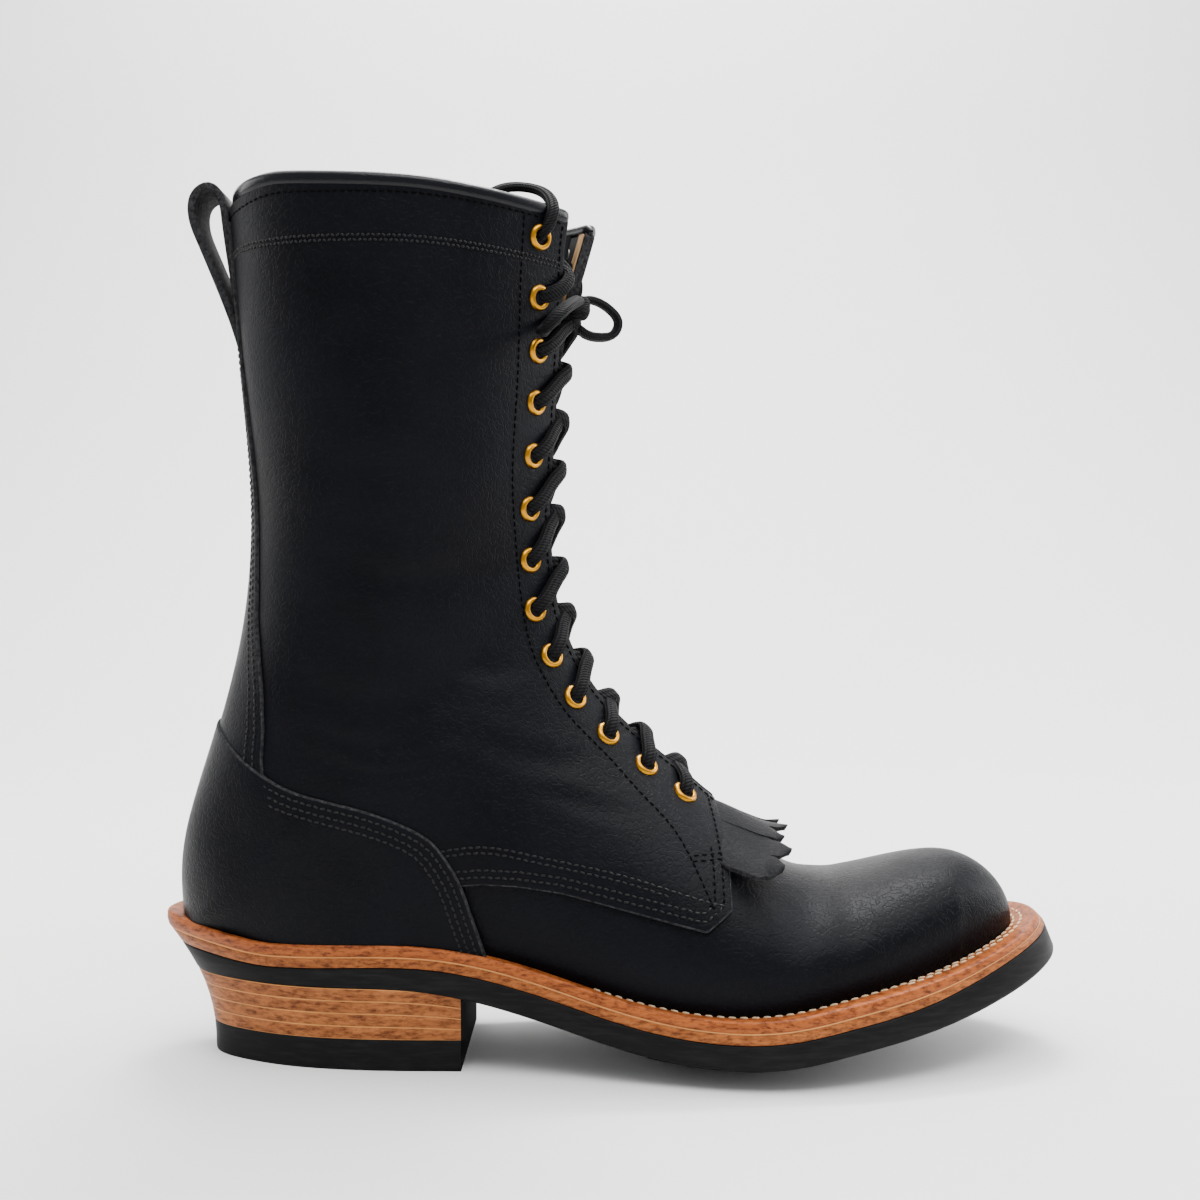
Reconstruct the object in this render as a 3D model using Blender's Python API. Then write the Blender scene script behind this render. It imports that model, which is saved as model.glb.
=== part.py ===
"""Right-foot lace-up boot with a fringed kiltie: hollow upper, welted sole, stacked heel, eyelets, lace.

X runs from heel to toe, Y towards the inner side of the foot, Z up, and the boot stands on Z = 0.
Sizes and tables are in millimetres. Every mesh is scaled to metres as it is made.
"""
import math
from collections import namedtuple
from functools import lru_cache

import bmesh
import bpy
import numpy as np

MM = 0.001
GAP = 0.3
CURVED_GAP = 0.7
LATERAL, MEDIAL = -1, 1

# Sole: length, layer thicknesses and heel
SOLE_LENGTH = 310.0
OUTSOLE = 7.6
MIDSOLE = 4.2
WELT = 3.8
INSOLE_RISE = 2.5
INSOLE_INSET = 6.0
MIDSOLE_LOW = OUTSOLE + CURVED_GAP
WELT_LOW = MIDSOLE_LOW + MIDSOLE + CURVED_GAP
WELT_TOP = WELT_LOW + WELT
TOP_LIFT = 10.3
LEATHER_LIFTS = 4
HEEL_BREAST = -50.0

# Heel flare: the heel narrows from the rand down to the floor, most of all at its back
HEEL_FLARE_SIDE = 6.0
HEEL_FLARE_BACK = 13.2
HEEL_FLARE_CURVE = 2.2
HEEL_RAND_HEIGHT = 44.0
HEEL_FLARE_START = -25.0
HEEL_FLARE_FULL = -75.0
WELT_SET_BACK_SIDE = 1.2
WELT_SET_BACK_TOE = 4.0

# Lugs: cross bars under the forefoot, standing on the floor at the ball
LUG_DEPTH = 4.2
LUG_BARS = 6
LUG_FIRST = 10.0
LUG_PITCH = 18.0
LUG_LENGTH = 12.0
LUG_DRAFT = 1.0
LUG_REACH = 0.86
LUG_FOOT = 0.82
LUG_LEVEL = 0.45

# Upper: feather line where it meets the welt, wall, throat and toe
FEATHER_LENGTH = 286.0
FEATHER_CENTRE = -4.5
WALL = 2.4
SECTION_POWER = 2.25
CROWN_POWER = 2.0
COLUMNS = 12
COLUMN_CROWDING = 1.25
THROAT_HALF = 5.5
THROAT_TOP_LATERAL = 17.0
THROAT_TOP_MEDIAL = 5.5
THROAT_SPREAD = 90.0

# Eyelets and lace
EYELETS = 13
EYELET_FIRST = 15.6
EYELETS_LOW = 6
EYELET_LOW_PITCH = 16.2
EYELET_PITCH = 16.9
EYELET_OUTER = 4.3
EYELET_INNER = 2.6
EYELET_MIDDLE = 3.4
EYELET_RISE = 1.1
EYELET_INSET = 11.0
EYELET_SEAT = 0.45
LACE = 3.2
LACE_DIP = 2.4

# Collar binding, tongue and heel counter
BINDING = 2.7
TONGUE = 3.0
TONGUE_DEPTH = 7.2
TONGUE_LAP = 13.0
TONGUE_ROOT = 8.0
TONGUE_SHORT = 4.0
COUNTER = 2.2
COUNTER_SEAT = 0.7
COUNTER_LIFT = 0.8

# Back strap with its pull loop, which spreads from half its width to its foot by the counter
STRAP = 2.6
STRAP_SEAT = 0.9
STRAP_FOOT_SEAT = 1.4
STRAP_CLEAR = 1.4
STRAP_HALF = 9.0
STRAP_FOOT_HALF = 36.0
STRAP_SPREAD_TOP = 185.0
STRAP_SPREAD = 78.0
STRAP_LEAVES = 12.0

# Kiltie
KILTIE = 1.8
KILTIE_LENGTH = 24.0
KILTIE_TEETH = 8
KILTIE_SLIT = 0.1
KILTIE_BODY_ROWS = 2
KILTIE_SEAT = 0.7
KILTIE_TIP_LIFT = 8.0
KILTIE_ROOT_HALF = 26.0
KILTIE_TIP_HALF = 29.0

SoleStation = namedtuple("SoleStation", "angle sole_half feather_half swing")
SOLE_STATIONS = [
    SoleStation(0, 0.0, 0.0, 0.0),
    SoleStation(20, 24.5, 20.5, 0.0),
    SoleStation(40, 36.0, 31.0, 0.0),
    SoleStation(60, 38.3, 33.0, -1.0),
    SoleStation(80, 38.5, 31.5, -3.4),
    SoleStation(95, 47.0, 38.0, -4.2),
    SoleStation(110, 56.0, 46.0, -1.6),
    SoleStation(125, 54.0, 44.5, 3.2),
    SoleStation(140, 43.5, 34.5, 5.6),
    SoleStation(155, 30.0, 22.5, 6.0),
    SoleStation(168, 15.5, 11.5, 6.0),
    SoleStation(180, 0.0, 0.0, 6.0),
]

SoleProfile = namedtuple("SoleProfile", "x underside crown")
SOLE_PROFILE = [
    SoleProfile(-155, 27.0, 0.0),
    SoleProfile(-100, 26.2, 0.0),
    SoleProfile(-52, 24.6, 0.2),
    SoleProfile(-24, 17.0, 1.5),
    SoleProfile(4, 8.4, 2.6),
    SoleProfile(28, 4.2, 3.2),
    SoleProfile(58, 4.2, 3.2),
    SoleProfile(75, 7.2, 3.1),
    SoleProfile(107, 13.2, 2.2),
    SoleProfile(141, 24.0, 0.8),
    SoleProfile(155, 30.5, 0.0),
]

# Sections of the upper, each a plane from the ridge down to the feather line or the back seam.
# Foot sections end on the feather line, at a station angle; shaft sections end on the back seam.
# The crest is the power of the section above its widest place: the lower it is, the sharper the ridge.
FootSection = namedtuple("FootSection", "name ridge_x ridge_z base_angle half widest ridge_y crest")
FOOT_SECTIONS = [
    FootSection("toe_box", 114.0, 66.6, 146.0, 32.5, 0.40, 6.5, 2.25),
    FootSection("toe_joint", 97.0, 63.2, 135.2, 41.0, 0.36, 6.5, 2.25),
    FootSection("vamp", 74.0, 59.6, 123.3, 48.0, 0.31, 5.0, 2.1),
    FootSection("ball", 55.0, 66.0, 112.5, 49.5, 0.28, 3.0, 1.8),
    FootSection("throat", 36.4, 83.6, 101.5, 46.5, 0.27, 1.5, 1.5),
    FootSection("instep", 10.4, 107.4, 84.6, 40.0, 0.30, 0.5, 1.25),
    FootSection("waist", -9.3, 131.4, 61.8, 38.0, 0.35, 0.0, 1.18),
    FootSection("ankle_low", -16.7, 150.4, 38.8, 37.5, 0.40, 0.0, 1.15),
    FootSection("heel_seat", -19.0, 164.0, 0.0, 36.8, 0.43, 0.0, 1.15),
]
ShaftSection = namedtuple("ShaftSection", "name ridge_x ridge_z back_x back_z half widest crest")
SHAFT_SECTIONS = [
    ShaftSection("counter", -20.3, 180.0, -147.6, 66.0, 36.5, 0.45, 1.15),
    ShaftSection("counter_top", -20.3, 196.0, -139.0, 100.0, 36.5, 0.45, 1.15),
    ShaftSection("ankle", -19.2, 214.0, -126.8, 140.0, 37.5, 0.45, 1.15),
    ShaftSection("calf_low", -17.6, 238.0, -122.4, 185.0, 39.0, 0.45, 1.15),
    ShaftSection("calf", -12.0, 263.0, -126.3, 237.0, 41.0, 0.45, 1.15),
    ShaftSection("collar", -6.5, 283.0, -131.3, 294.5, 43.0, 0.45, 1.15),
]

# Heel counter, seen from the side: its upper edge from the back seam to its front foot
CounterEdge = namedtuple("CounterEdge", "x z")
COUNTER_EDGE = [
    CounterEdge(-160.0, 122.0),
    CounterEdge(-137.8, 110.0),
    CounterEdge(-116.5, 95.1),
    CounterEdge(-92.6, 86.9),
    CounterEdge(-75.8, 82.8),
    CounterEdge(-62.7, 78.0),
    CounterEdge(-55.5, 71.0),
    CounterEdge(-50.5, 61.0),
    CounterEdge(-43.0, 43.0),
]

# Pull loop seen from the side: the strap leaves the back seam, turns over and comes down behind
LoopPoint = namedtuple("LoopPoint", "x z")
LOOP_ROUTE = [
    LoopPoint(-136.6, 288.0),
    LoopPoint(-138.6, 295.0),
    LoopPoint(-142.6, 298.6),
    LoopPoint(-146.9, 296.6),
    LoopPoint(-148.2, 290.5),
    LoopPoint(-145.6, 279.0),
    LoopPoint(-140.8, 265.0),
    LoopPoint(-135.2, 251.5),
]

# Routes of the bow: the loop that stands off towards the inner side, and the one that lies on the facing
CordPoint = namedtuple("CordPoint", "x y z")
LOOP_FAR_ROUTE = [
    CordPoint(-5.7, 2.5, 251.9),
    CordPoint(-0.1, 6.0, 255.0),
    CordPoint(6.5, 9.0, 252.0),
    CordPoint(9.5, 10.5, 246.5),
    CordPoint(6.5, 10.0, 241.5),
    CordPoint(-0.1, 7.0, 240.5),
    CordPoint(-6.4, 2.7, 244.5),
]
LOOP_NEAR_ROUTE = [
    CordPoint(-9.0, -4.9, 252.6),
    CordPoint(-13.5, -11.6, 251.6),
    CordPoint(-18.0, -17.0, 249.8),
    CordPoint(-22.5, -21.6, 247.2),
    CordPoint(-25.0, -24.2, 244.4),
    CordPoint(-23.5, -23.6, 241.6),
    CordPoint(-19.5, -19.5, 242.6),
    CordPoint(-14.5, -13.5, 244.8),
    CordPoint(-9.6, -5.9, 245.8),
]
KNOT_CENTRE = CordPoint(-8.0, -0.5, 248.6)
KNOT_HALF = CordPoint(3.2, 5.0, 5.2)

# Route of the lace's end from the top eyelet over the collar into the shaft: its way above the
# collar's edge, its way round from the ridge, and its lift off the upper's surface
EndPoint = namedtuple("EndPoint", "up arc lift")
END_ROUTE = [
    EndPoint(-4.0, 24.0, 4.8),
    EndPoint(2.5, 22.5, 4.2),
    EndPoint(8.2, 25.0, 1.0),
    EndPoint(9.6, 31.0, -3.5),
    EndPoint(8.0, 39.0, -6.5),
    EndPoint(3.0, 48.0, -8.0),
    EndPoint(-6.0, 54.0, -6.5),
]


def column(table, name):
    """One named column of a table of rows."""
    return [getattr(row, name) for row in table]


class Spline:
    """Natural cubic spline through knots, with a set slope at its start where one is given."""

    def __init__(self, knots, values, start_slope=None):
        self.x = np.asarray(knots, float)
        self.y = np.asarray(values, float)
        self.h = np.diff(self.x)
        count = len(self.x)
        rows = np.eye(count)
        right = np.zeros(count)
        rise = np.diff(self.y) / self.h
        for i in range(1, count - 1):
            rows[i, i - 1 : i + 2] = self.h[i - 1], 2 * (self.h[i - 1] + self.h[i]), self.h[i]
            right[i] = 6 * (rise[i] - rise[i - 1])
        if start_slope is not None:
            rows[0, :2] = 2 * self.h[0], self.h[0]
            right[0] = 6 * (rise[0] - start_slope)
        self.m = np.linalg.solve(rows, right)

    def __call__(self, t):
        i = int(np.clip(np.searchsorted(self.x, t) - 1, 0, len(self.h) - 1))
        h = self.h[i]
        back = self.x[i + 1] - t
        ahead = t - self.x[i]
        bend = (self.m[i] * back**3 + self.m[i + 1] * ahead**3) / (6 * h)
        start = (self.y[i] / h - self.m[i] * h / 6) * back
        end = (self.y[i + 1] / h - self.m[i + 1] * h / 6) * ahead
        return float(bend + start + end)


ANGLES = column(SOLE_STATIONS, "angle")
SOLE_HALF = Spline(ANGLES, column(SOLE_STATIONS, "sole_half"))
FEATHER_HALF = Spline(ANGLES, column(SOLE_STATIONS, "feather_half"))
SWING = Spline(ANGLES, column(SOLE_STATIONS, "swing"))
UNDERSIDE = Spline(column(SOLE_PROFILE, "x"), column(SOLE_PROFILE, "underside"))
CROWN = Spline(column(SOLE_PROFILE, "x"), column(SOLE_PROFILE, "crown"))


def smoothstep(start, full, value):
    """0 before start, 1 past full, and a soft rise between them."""
    t = min(max((value - start) / (full - start), 0.0), 1.0)
    return t * t * (3 - 2 * t)


def blend(a, b, t):
    """Straight mix of two values."""
    return a + (b - a) * t


def finish(name, colour, roughness, metallic=0.0):
    """Principled material of one colour."""
    material = bpy.data.materials.new(name)
    material.use_nodes = True
    shader = material.node_tree.nodes["Principled BSDF"]
    shader.inputs["Base Color"].default_value = (*colour, 1.0)
    shader.inputs["Roughness"].default_value = roughness
    shader.inputs["Metallic"].default_value = metallic
    return material


def place(mesh, name, material):
    """Put a mesh in the scene as one smooth-shaded object."""
    mesh.materials.append(material)
    mesh.shade_smooth()
    mesh.set_sharp_from_angle(angle=math.radians(40))
    piece = bpy.data.objects.new(name, mesh)
    bpy.context.scene.collection.objects.link(piece)
    return piece


def solid(name, points, faces, material):
    """Object from points in millimetres and faces, with its normals turned outwards."""
    build = bmesh.new()
    corners = [build.verts.new(np.asarray(p, float) * MM) for p in points]
    for face in faces:
        build.faces.new([corners[i] for i in face])
    bmesh.ops.recalc_face_normals(build, faces=build.faces)
    mesh = bpy.data.meshes.new(name)
    build.to_mesh(mesh)
    build.free()
    return place(mesh, name, material)


def thicken(outer, inner, faces):
    """Points and faces of the closed wall between two surfaces that share their faces."""
    count = len(outer)
    walls = []
    edges = {}
    for face in faces:
        for a, b in zip(face, face[1:] + face[:1]):
            edges[(a, b)] = (b, a) not in edges
            if (b, a) in edges:
                edges[(a, b)] = edges[(b, a)] = False
    for (a, b), open_edge in edges.items():
        if open_edge:
            walls.append((b, a, a + count, b + count))
    backs = [tuple(v + count for v in reversed(face)) for face in faces]
    return list(outer) + list(inner), list(faces) + backs + walls


def strips(rows):
    """Triangles between neighbouring rows of point numbers; a row of one number is a tip."""
    faces = []
    for a, b in zip(rows, rows[1:]):
        width = max(len(a), len(b))
        a = a * width if len(a) == 1 else a
        b = b * width if len(b) == 1 else b
        for i in range(width - 1):
            faces += [(a[i], a[i + 1], b[i]), (a[i + 1], b[i + 1], b[i])]
    return [face for face in faces if len(set(face)) == 3]


# Sole


def sole_outline(angle, side):
    """Plan of the sole's widest line at a station angle."""
    x = -SOLE_LENGTH / 2 * math.cos(math.radians(angle))
    return np.array([x, SWING(angle) + side * SOLE_HALF(angle)])


def outline_normal(angle, side):
    """Outward direction of the sole's outline in plan."""
    if angle <= 0.0 or angle >= 180.0:
        return np.array([-1.0 if angle <= 0.0 else 1.0, 0.0])
    dx, dy = sole_outline(min(angle + 0.5, 180.0), side) - sole_outline(max(angle - 0.5, 0.0), side)
    return side * np.array([-dy, dx]) / math.hypot(dx, dy)


def ground(x, y):
    """Height of the outsole's smooth underside: level along, and higher towards its edges."""
    angle = math.degrees(math.acos(min(max(-2 * x / SOLE_LENGTH, -1.0), 1.0)))
    across = (y - SWING(angle)) / max(SOLE_HALF(angle), 1.0)
    return UNDERSIDE(x) + CROWN(x) * min(across * across, 1.0)


def heel_inset(z, back):
    """How far the heel stands in from the rand at a height."""
    depth = min(max(1 - z / HEEL_RAND_HEIGHT, 0.0), 1.0)
    flare = blend(HEEL_FLARE_SIDE, HEEL_FLARE_BACK, max(back, 0.0) ** 2)
    return flare * (1 - (1 - depth) ** HEEL_FLARE_CURVE)


def sole_rim(angle, side, height):
    """Plan of the sole stack's edge, at a height above the outsole's underside."""
    plan = sole_outline(angle, side)
    normal = outline_normal(angle, side)
    heel = smoothstep(HEEL_FLARE_START, HEEL_FLARE_FULL, plan[0])
    toe = blend(WELT_SET_BACK_SIDE, WELT_SET_BACK_TOE, max(normal[0], 0.0) ** 2) * height / WELT_TOP
    inset = blend(toe, heel_inset(ground(*plan) + height, -normal[0]), heel)
    return plan - normal * inset


def feather(angle, side, inset=0.0):
    """Plan of the upper's lower edge, or of a line inside it."""
    x = FEATHER_CENTRE - (FEATHER_LENGTH / 2 - inset) * math.cos(math.radians(angle))
    half = FEATHER_HALF(angle) - inset * math.sin(math.radians(angle)) ** 0.5
    return np.array([x, SWING(angle) + side * max(half, 0.0)])


def plate(name, edge, low, high, angles, across, material, drop=None):
    """Closed plate between two heights over the ground, inside an edge curve."""
    tops, lows, rows = [], [], []
    for angle in angles:
        tip = angle in (0, 180)
        row = []
        for share in [0.0] if tip else across:
            for points, height in ((tops, high), (lows, low)):
                left, right = edge(angle, LATERAL, height), edge(angle, MEDIAL, height)
                x, y = blend(left, right, (share + 1) / 2)
                z = ground(x, y) + height
                if drop and height == low:
                    z = drop(x, share, z)
                points.append((x, y, z))
            row.append(len(tops) - 1)
        rows.append(row)
    return solid(name, *thicken(tops, lows, strips(rows)), material)


def angle_at(x):
    """Station angle of a place along the sole."""
    return math.degrees(math.acos(-2 * x / SOLE_LENGTH))


def lug_lines():
    """Places along the sole of the tops and feet of the lug bars' flanks."""
    starts = [LUG_FIRST + LUG_PITCH * bar for bar in range(LUG_BARS)]
    return [(x, x + LUG_DRAFT, x + LUG_LENGTH - LUG_DRAFT, x + LUG_LENGTH) for x in starts]


def lug_underside(x, share, z):
    """Underside with the lug bars, which are level in their middle where they meet the floor."""
    for start, full, end, stop in lug_lines():
        if full - 0.1 <= x <= end + 0.1 and abs(share) <= LUG_FOOT + 0.001:
            foot = UNDERSIDE(x) if abs(share) <= LUG_LEVEL else z
            return max(foot - LUG_DEPTH, 0.0)
    return z


def make_sole():
    """Outsole with its lugs, midsole, welt and insole."""
    tan = finish("sole_leather", (0.55, 0.36, 0.19), 0.7)
    even = [0, 6, 13, 21] + list(range(30, 80, 10)) + [79] + list(range(88, 169, 8)) + [175, 180]
    third = [-1.0, -0.7, 0.0, 0.7, 1.0]
    lugs = [angle_at(x) for flank in lug_lines() for x in flank]
    rear = [angle for angle in even if angle < lugs[0] - 2]
    front = [angle for angle in even if angle > lugs[-1] + 2]
    half_row = [LUG_LEVEL, LUG_FOOT, LUG_REACH, 1.0]
    across = [-share for share in reversed(half_row)] + [0.0] + half_row
    rubber = finish("outsole_rubber", (0.02, 0.02, 0.022), 0.75)
    plate("outsole", sole_rim, 0.0, OUTSOLE, rear + lugs + front, across, rubber, lug_underside)
    plate("midsole", sole_rim, MIDSOLE_LOW, MIDSOLE_LOW + MIDSOLE, even, third, tan)

    def insole_edge(angle, side, height):
        return feather(angle, side, INSOLE_INSET)

    insole_leather = finish("insole_leather", (0.46, 0.31, 0.19), 0.8)
    plate("insole", insole_edge, WELT_LOW + GAP, WELT_TOP + INSOLE_RISE, even, third, insole_leather)
    make_welt(even, finish("welt_leather", (0.58, 0.39, 0.21), 0.65))


def make_welt(angles, material):
    """Ring that the upper stands on, from under the upper's wall out to the sole's edge."""
    circuit = [(angle, LATERAL) for angle in angles] + [(angle, MEDIAL) for angle in angles[-2:0:-1]]
    points, rows = [], []
    for angle, side in circuit:
        row = []
        for height, inner in ((WELT_LOW, False), (WELT_TOP, False), (WELT_TOP, True), (WELT_LOW, True)):
            x, y = feather(angle, side, WALL + GAP) if inner else sole_rim(angle, side, height)
            row.append(len(points))
            points.append((x, y, ground(x, y) + height))
        rows.append(row + row[:1])
    solid("welt", points, strips(rows + rows[:1]), material)


def make_heel():
    """Stacked leather lifts over a rubber top lift, flared up to the rand."""
    tan = finish("heel_leather", (0.5, 0.31, 0.16), 0.7)
    rubber = finish("top_lift_rubber", (0.025, 0.025, 0.027), 0.8)

    def level(x, share):
        return blend(TOP_LIFT, UNDERSIDE(x) - CURVED_GAP, share)

    def lift(name, low, high, material):
        breast = angle_at(HEEL_BREAST)
        stations = [0, 7, 15, 24, 34, 45, 57, breast]
        tops, lows, rows = [], [], []
        for angle in stations:
            row = []
            for side in (LATERAL,) if angle == 0 else (LATERAL, MEDIAL):
                plan = sole_outline(angle, side)
                normal = outline_normal(angle, side)
                for points, height in ((tops, high), (lows, low)):
                    z = height(plan[0])
                    x, y = plan - normal * heel_inset(z, -normal[0])
                    points.append((HEEL_BREAST if angle == breast else x, y, z))
                row.append(len(tops) - 1)
            rows.append(row)
        solid(name, *thicken(tops, lows, strips(rows)), material)

    lift("heel_top_lift", lambda x: 0.0, lambda x: TOP_LIFT, rubber)
    for i in range(LEATHER_LIFTS):
        start, stop = i / LEATHER_LIFTS, (i + 1) / LEATHER_LIFTS
        low = lambda x, share=start: level(x, share) + GAP
        high = lambda x, share=stop: level(x, share)
        lift(f"heel_lift_{i + 1}", low, high, tan)


# Upper


def base_point(angle, side):
    """Point of the feather line, just clear of the welt."""
    x, y = feather(angle, side)
    return np.array([x, y, ground(x, y) + WELT_TOP + CURVED_GAP])


def section_knots():
    """Running length of each section, as the mean of the way along its ridge and along its base."""
    ridge = [(row.ridge_x, row.ridge_z) for row in FOOT_SECTIONS + SHAFT_SECTIONS]
    base = [base_point(row.base_angle, LATERAL)[[0, 2]] for row in FOOT_SECTIONS]
    base += [np.array([row.back_x, row.back_z]) for row in SHAFT_SECTIONS]
    steps = [np.linalg.norm(np.diff(np.array(line), axis=0), axis=1) for line in (ridge, base)]
    return np.concatenate([[0.0], np.cumsum((steps[0] + steps[1]) / 2)])


KNOTS = section_knots()
SECTION_AT = {row.name: k for row, k in zip(FOOT_SECTIONS + SHAFT_SECTIONS, KNOTS)}
FOOT_KNOTS = KNOTS[: len(FOOT_SECTIONS)]
BACK_KNOTS = KNOTS[len(FOOT_SECTIONS) - 1 :]
HEEL_AT = SECTION_AT["heel_seat"]
COLLAR_AT = SECTION_AT["collar"]
THROAT_AT = SECTION_AT["throat"]
TIP = base_point(180, LATERAL)
SEAT = base_point(0, LATERAL)
ALL_SECTIONS = FOOT_SECTIONS + SHAFT_SECTIONS
RIDGE_X = Spline(KNOTS, column(ALL_SECTIONS, "ridge_x"), start_slope=-1.0)
RIDGE_Z = Spline(KNOTS, column(ALL_SECTIONS, "ridge_z"), start_slope=0.0)
HALF = Spline(KNOTS, column(ALL_SECTIONS, "half"))
WIDEST = Spline(KNOTS, column(ALL_SECTIONS, "widest"))
CREST = Spline(KNOTS, column(ALL_SECTIONS, "crest"))
RIDGE_Y = Spline(FOOT_KNOTS, column(FOOT_SECTIONS, "ridge_y"))
BASE_ANGLE = Spline(FOOT_KNOTS, column(FOOT_SECTIONS, "base_angle"))
BACK_X = Spline(BACK_KNOTS, [SEAT[0]] + column(SHAFT_SECTIONS, "back_x"))
BACK_Z = Spline(BACK_KNOTS, [SEAT[2]] + column(SHAFT_SECTIONS, "back_z"))


def toe_section(k, side):
    """Ridge, base, half width and widest share of an upright section through the toe's dome."""
    turn = -k * math.pi / 2
    first = FOOT_SECTIONS[0]
    x = first.ridge_x + (TIP[0] - first.ridge_x) * math.sin(turn)
    angle = math.degrees(math.acos(min(max((FEATHER_CENTRE - x) / (FEATHER_LENGTH / 2), -1.0), 1.0)))
    base = base_point(angle, side)
    ridge = np.array([x, first.ridge_y, blend(TIP[2], first.ridge_z, math.cos(turn))])
    half = first.half * FEATHER_HALF(angle) / FEATHER_HALF(first.base_angle)
    return ridge, base, half, first.widest


def section(k, side):
    """Ridge, base, half width and widest share of the section at a running length."""
    if k < 0:
        return toe_section(k, side)
    ridge_y = RIDGE_Y(k) if k < HEEL_AT else 0.0
    ridge = np.array([RIDGE_X(k), ridge_y, RIDGE_Z(k)])
    if k < HEEL_AT:
        base = base_point(max(BASE_ANGLE(k), 0.0), side)
    else:
        base = np.array([BACK_X(k), 0.0, BACK_Z(k)])
    return ridge, base, HALF(k), WIDEST(k)


@lru_cache(maxsize=None)
def section_line(k, side):
    """Points from the ridge round one side to the base, and their running lengths."""
    ridge, base, half, widest = section(k, side)
    middle = SWING(max(BASE_ANGLE(k), 0.0)) if 0 <= k < HEEL_AT else (ridge[1] if k < 0 else 0.0)
    foot = min(abs(base[1] - middle) / max(half, 1e-6), 0.999)
    power = 2 / SECTION_POWER
    crest = 2 / CREST(max(k, 0.0))
    reach = widest / (1 - foot**SECTION_POWER) ** (1 / SECTION_POWER)
    low_turn = math.asin(min((widest / reach) ** (SECTION_POWER / 2), 1.0))
    rises, widths = [], []
    for turn in np.linspace(math.pi / 2, 0.0, 29):
        rises.append(widest + (1 - widest) * math.sin(turn) ** (2 / CROWN_POWER))
        widths.append(half * max(math.cos(turn), 0.0) ** crest)
    for turn in np.linspace(0.0, low_turn, 25)[1:]:
        rises.append(widest - reach * math.sin(turn) ** power)
        widths.append(half * max(math.cos(turn), 0.0) ** power)
    rise = np.array(rises)[:, None]
    line = np.array([base[0], middle, base[2]]) * (1 - rise) + ridge * rise
    line[:, 1] += side * np.array(widths)
    line[-1] = base
    steps = np.linalg.norm(np.diff(line, axis=0), axis=1)
    return line, np.concatenate([[0.0], np.cumsum(steps)])


def on_section(k, side, arc):
    """Point at a way round the section, measured from its ridge."""
    line, run = section_line(k, side)
    return np.array([np.interp(arc, run, line[:, i]) for i in range(3)])


def girth(k, side):
    """Way round one side of a section from ridge to base."""
    return section_line(k, side)[1][-1]


def skin(k, side, arc, lift=0.0):
    """Point of the upper's outer surface, lifted off it along its normal."""
    spot = on_section(k, side, arc)
    share = arc / girth(k, side)
    high, low = min(k + 0.5, COLLAR_AT), k - 0.5
    ahead = on_section(high, side, share * girth(high, side)) - on_section(low, side, share * girth(low, side))
    down = on_section(k, side, arc + 0.6) - on_section(k, side, arc - 0.6)
    normal = -side * np.cross(ahead, down)
    return spot + lift * normal / np.linalg.norm(normal)


def throat_half(k, side):
    """Way from the ridge to the facing's edge, which spreads towards the collar."""
    top = THROAT_TOP_LATERAL if side == LATERAL else THROAT_TOP_MEDIAL
    return blend(THROAT_HALF, top, smoothstep(COLLAR_AT - THROAT_SPREAD, COLLAR_AT, k))


def upper_rows():
    """Running lengths of the sections that the upper is made through."""
    dome = [-1.0, -0.9, -0.78, -0.63, -0.46, -0.25]
    vamp = list(np.linspace(0.0, THROAT_AT, 8)[:-1])
    instep = [THROAT_AT, THROAT_AT + 3.0] + list(np.linspace(THROAT_AT + 3.0, HEEL_AT, 13)[1:-1])
    shaft = [HEEL_AT - 4.5] + list(np.linspace(HEEL_AT, COLLAR_AT, 13))
    return dome + vamp + instep + shaft


def upper_columns(k, side):
    """Ways round one side of a section where the upper has its points, closer by the throat."""
    start = throat_half(k, side) if k > THROAT_AT else 0.0
    shares = np.linspace(0.0, 1.0, COLUMNS) ** COLUMN_CROWDING
    return start + (girth(k, side) - start) * shares


def vertex_normals(points, faces):
    """Area-weighted normals of a surface's points."""
    points = np.asarray(points, float)
    normals = np.zeros_like(points)
    for face in faces:
        a, b, c = points[list(face)]
        normals[list(face)] += np.cross(b - a, c - a)
    return normals / np.linalg.norm(normals, axis=1)[:, None]


def make_upper():
    """One hollow wall from toe to collar, open at the collar, the throat and underneath."""
    points, rows = [], []

    def point(spot):
        points.append(spot)
        return len(points) - 1

    for k in upper_rows():
        if k == -1.0:
            rows.append([[point(TIP)] * COLUMNS] * 2)
            continue
        lateral = [point(on_section(k, LATERAL, arc)) for arc in upper_columns(k, LATERAL)]
        medial = []
        for i, arc in enumerate(upper_columns(k, MEDIAL)):
            on_ridge = i == 0 and k <= THROAT_AT
            on_back = i == COLUMNS - 1 and k >= HEEL_AT
            medial.append(lateral[i] if on_ridge or on_back else point(on_section(k, MEDIAL, arc)))
        rows.append([lateral, medial])
    faces = []
    for a, b in zip(rows, rows[1:]):
        faces += [tuple(reversed(face)) for face in strips([a[0], b[0]])]
        faces += strips([a[1], b[1]])
    inner = np.asarray(points) - WALL * vertex_normals(points, faces)
    leather = finish("upper_leather", (0.018, 0.018, 0.02), 0.5)
    return solid("upper", *thicken(points, inner, faces), leather)


def across(k, arc, lift):
    """Point of the lifted surface at a way from the ridge, negative on the outer side of the foot."""
    side = LATERAL if arc < 0 else MEDIAL
    return skin(k, side, abs(arc), lift)


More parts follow.
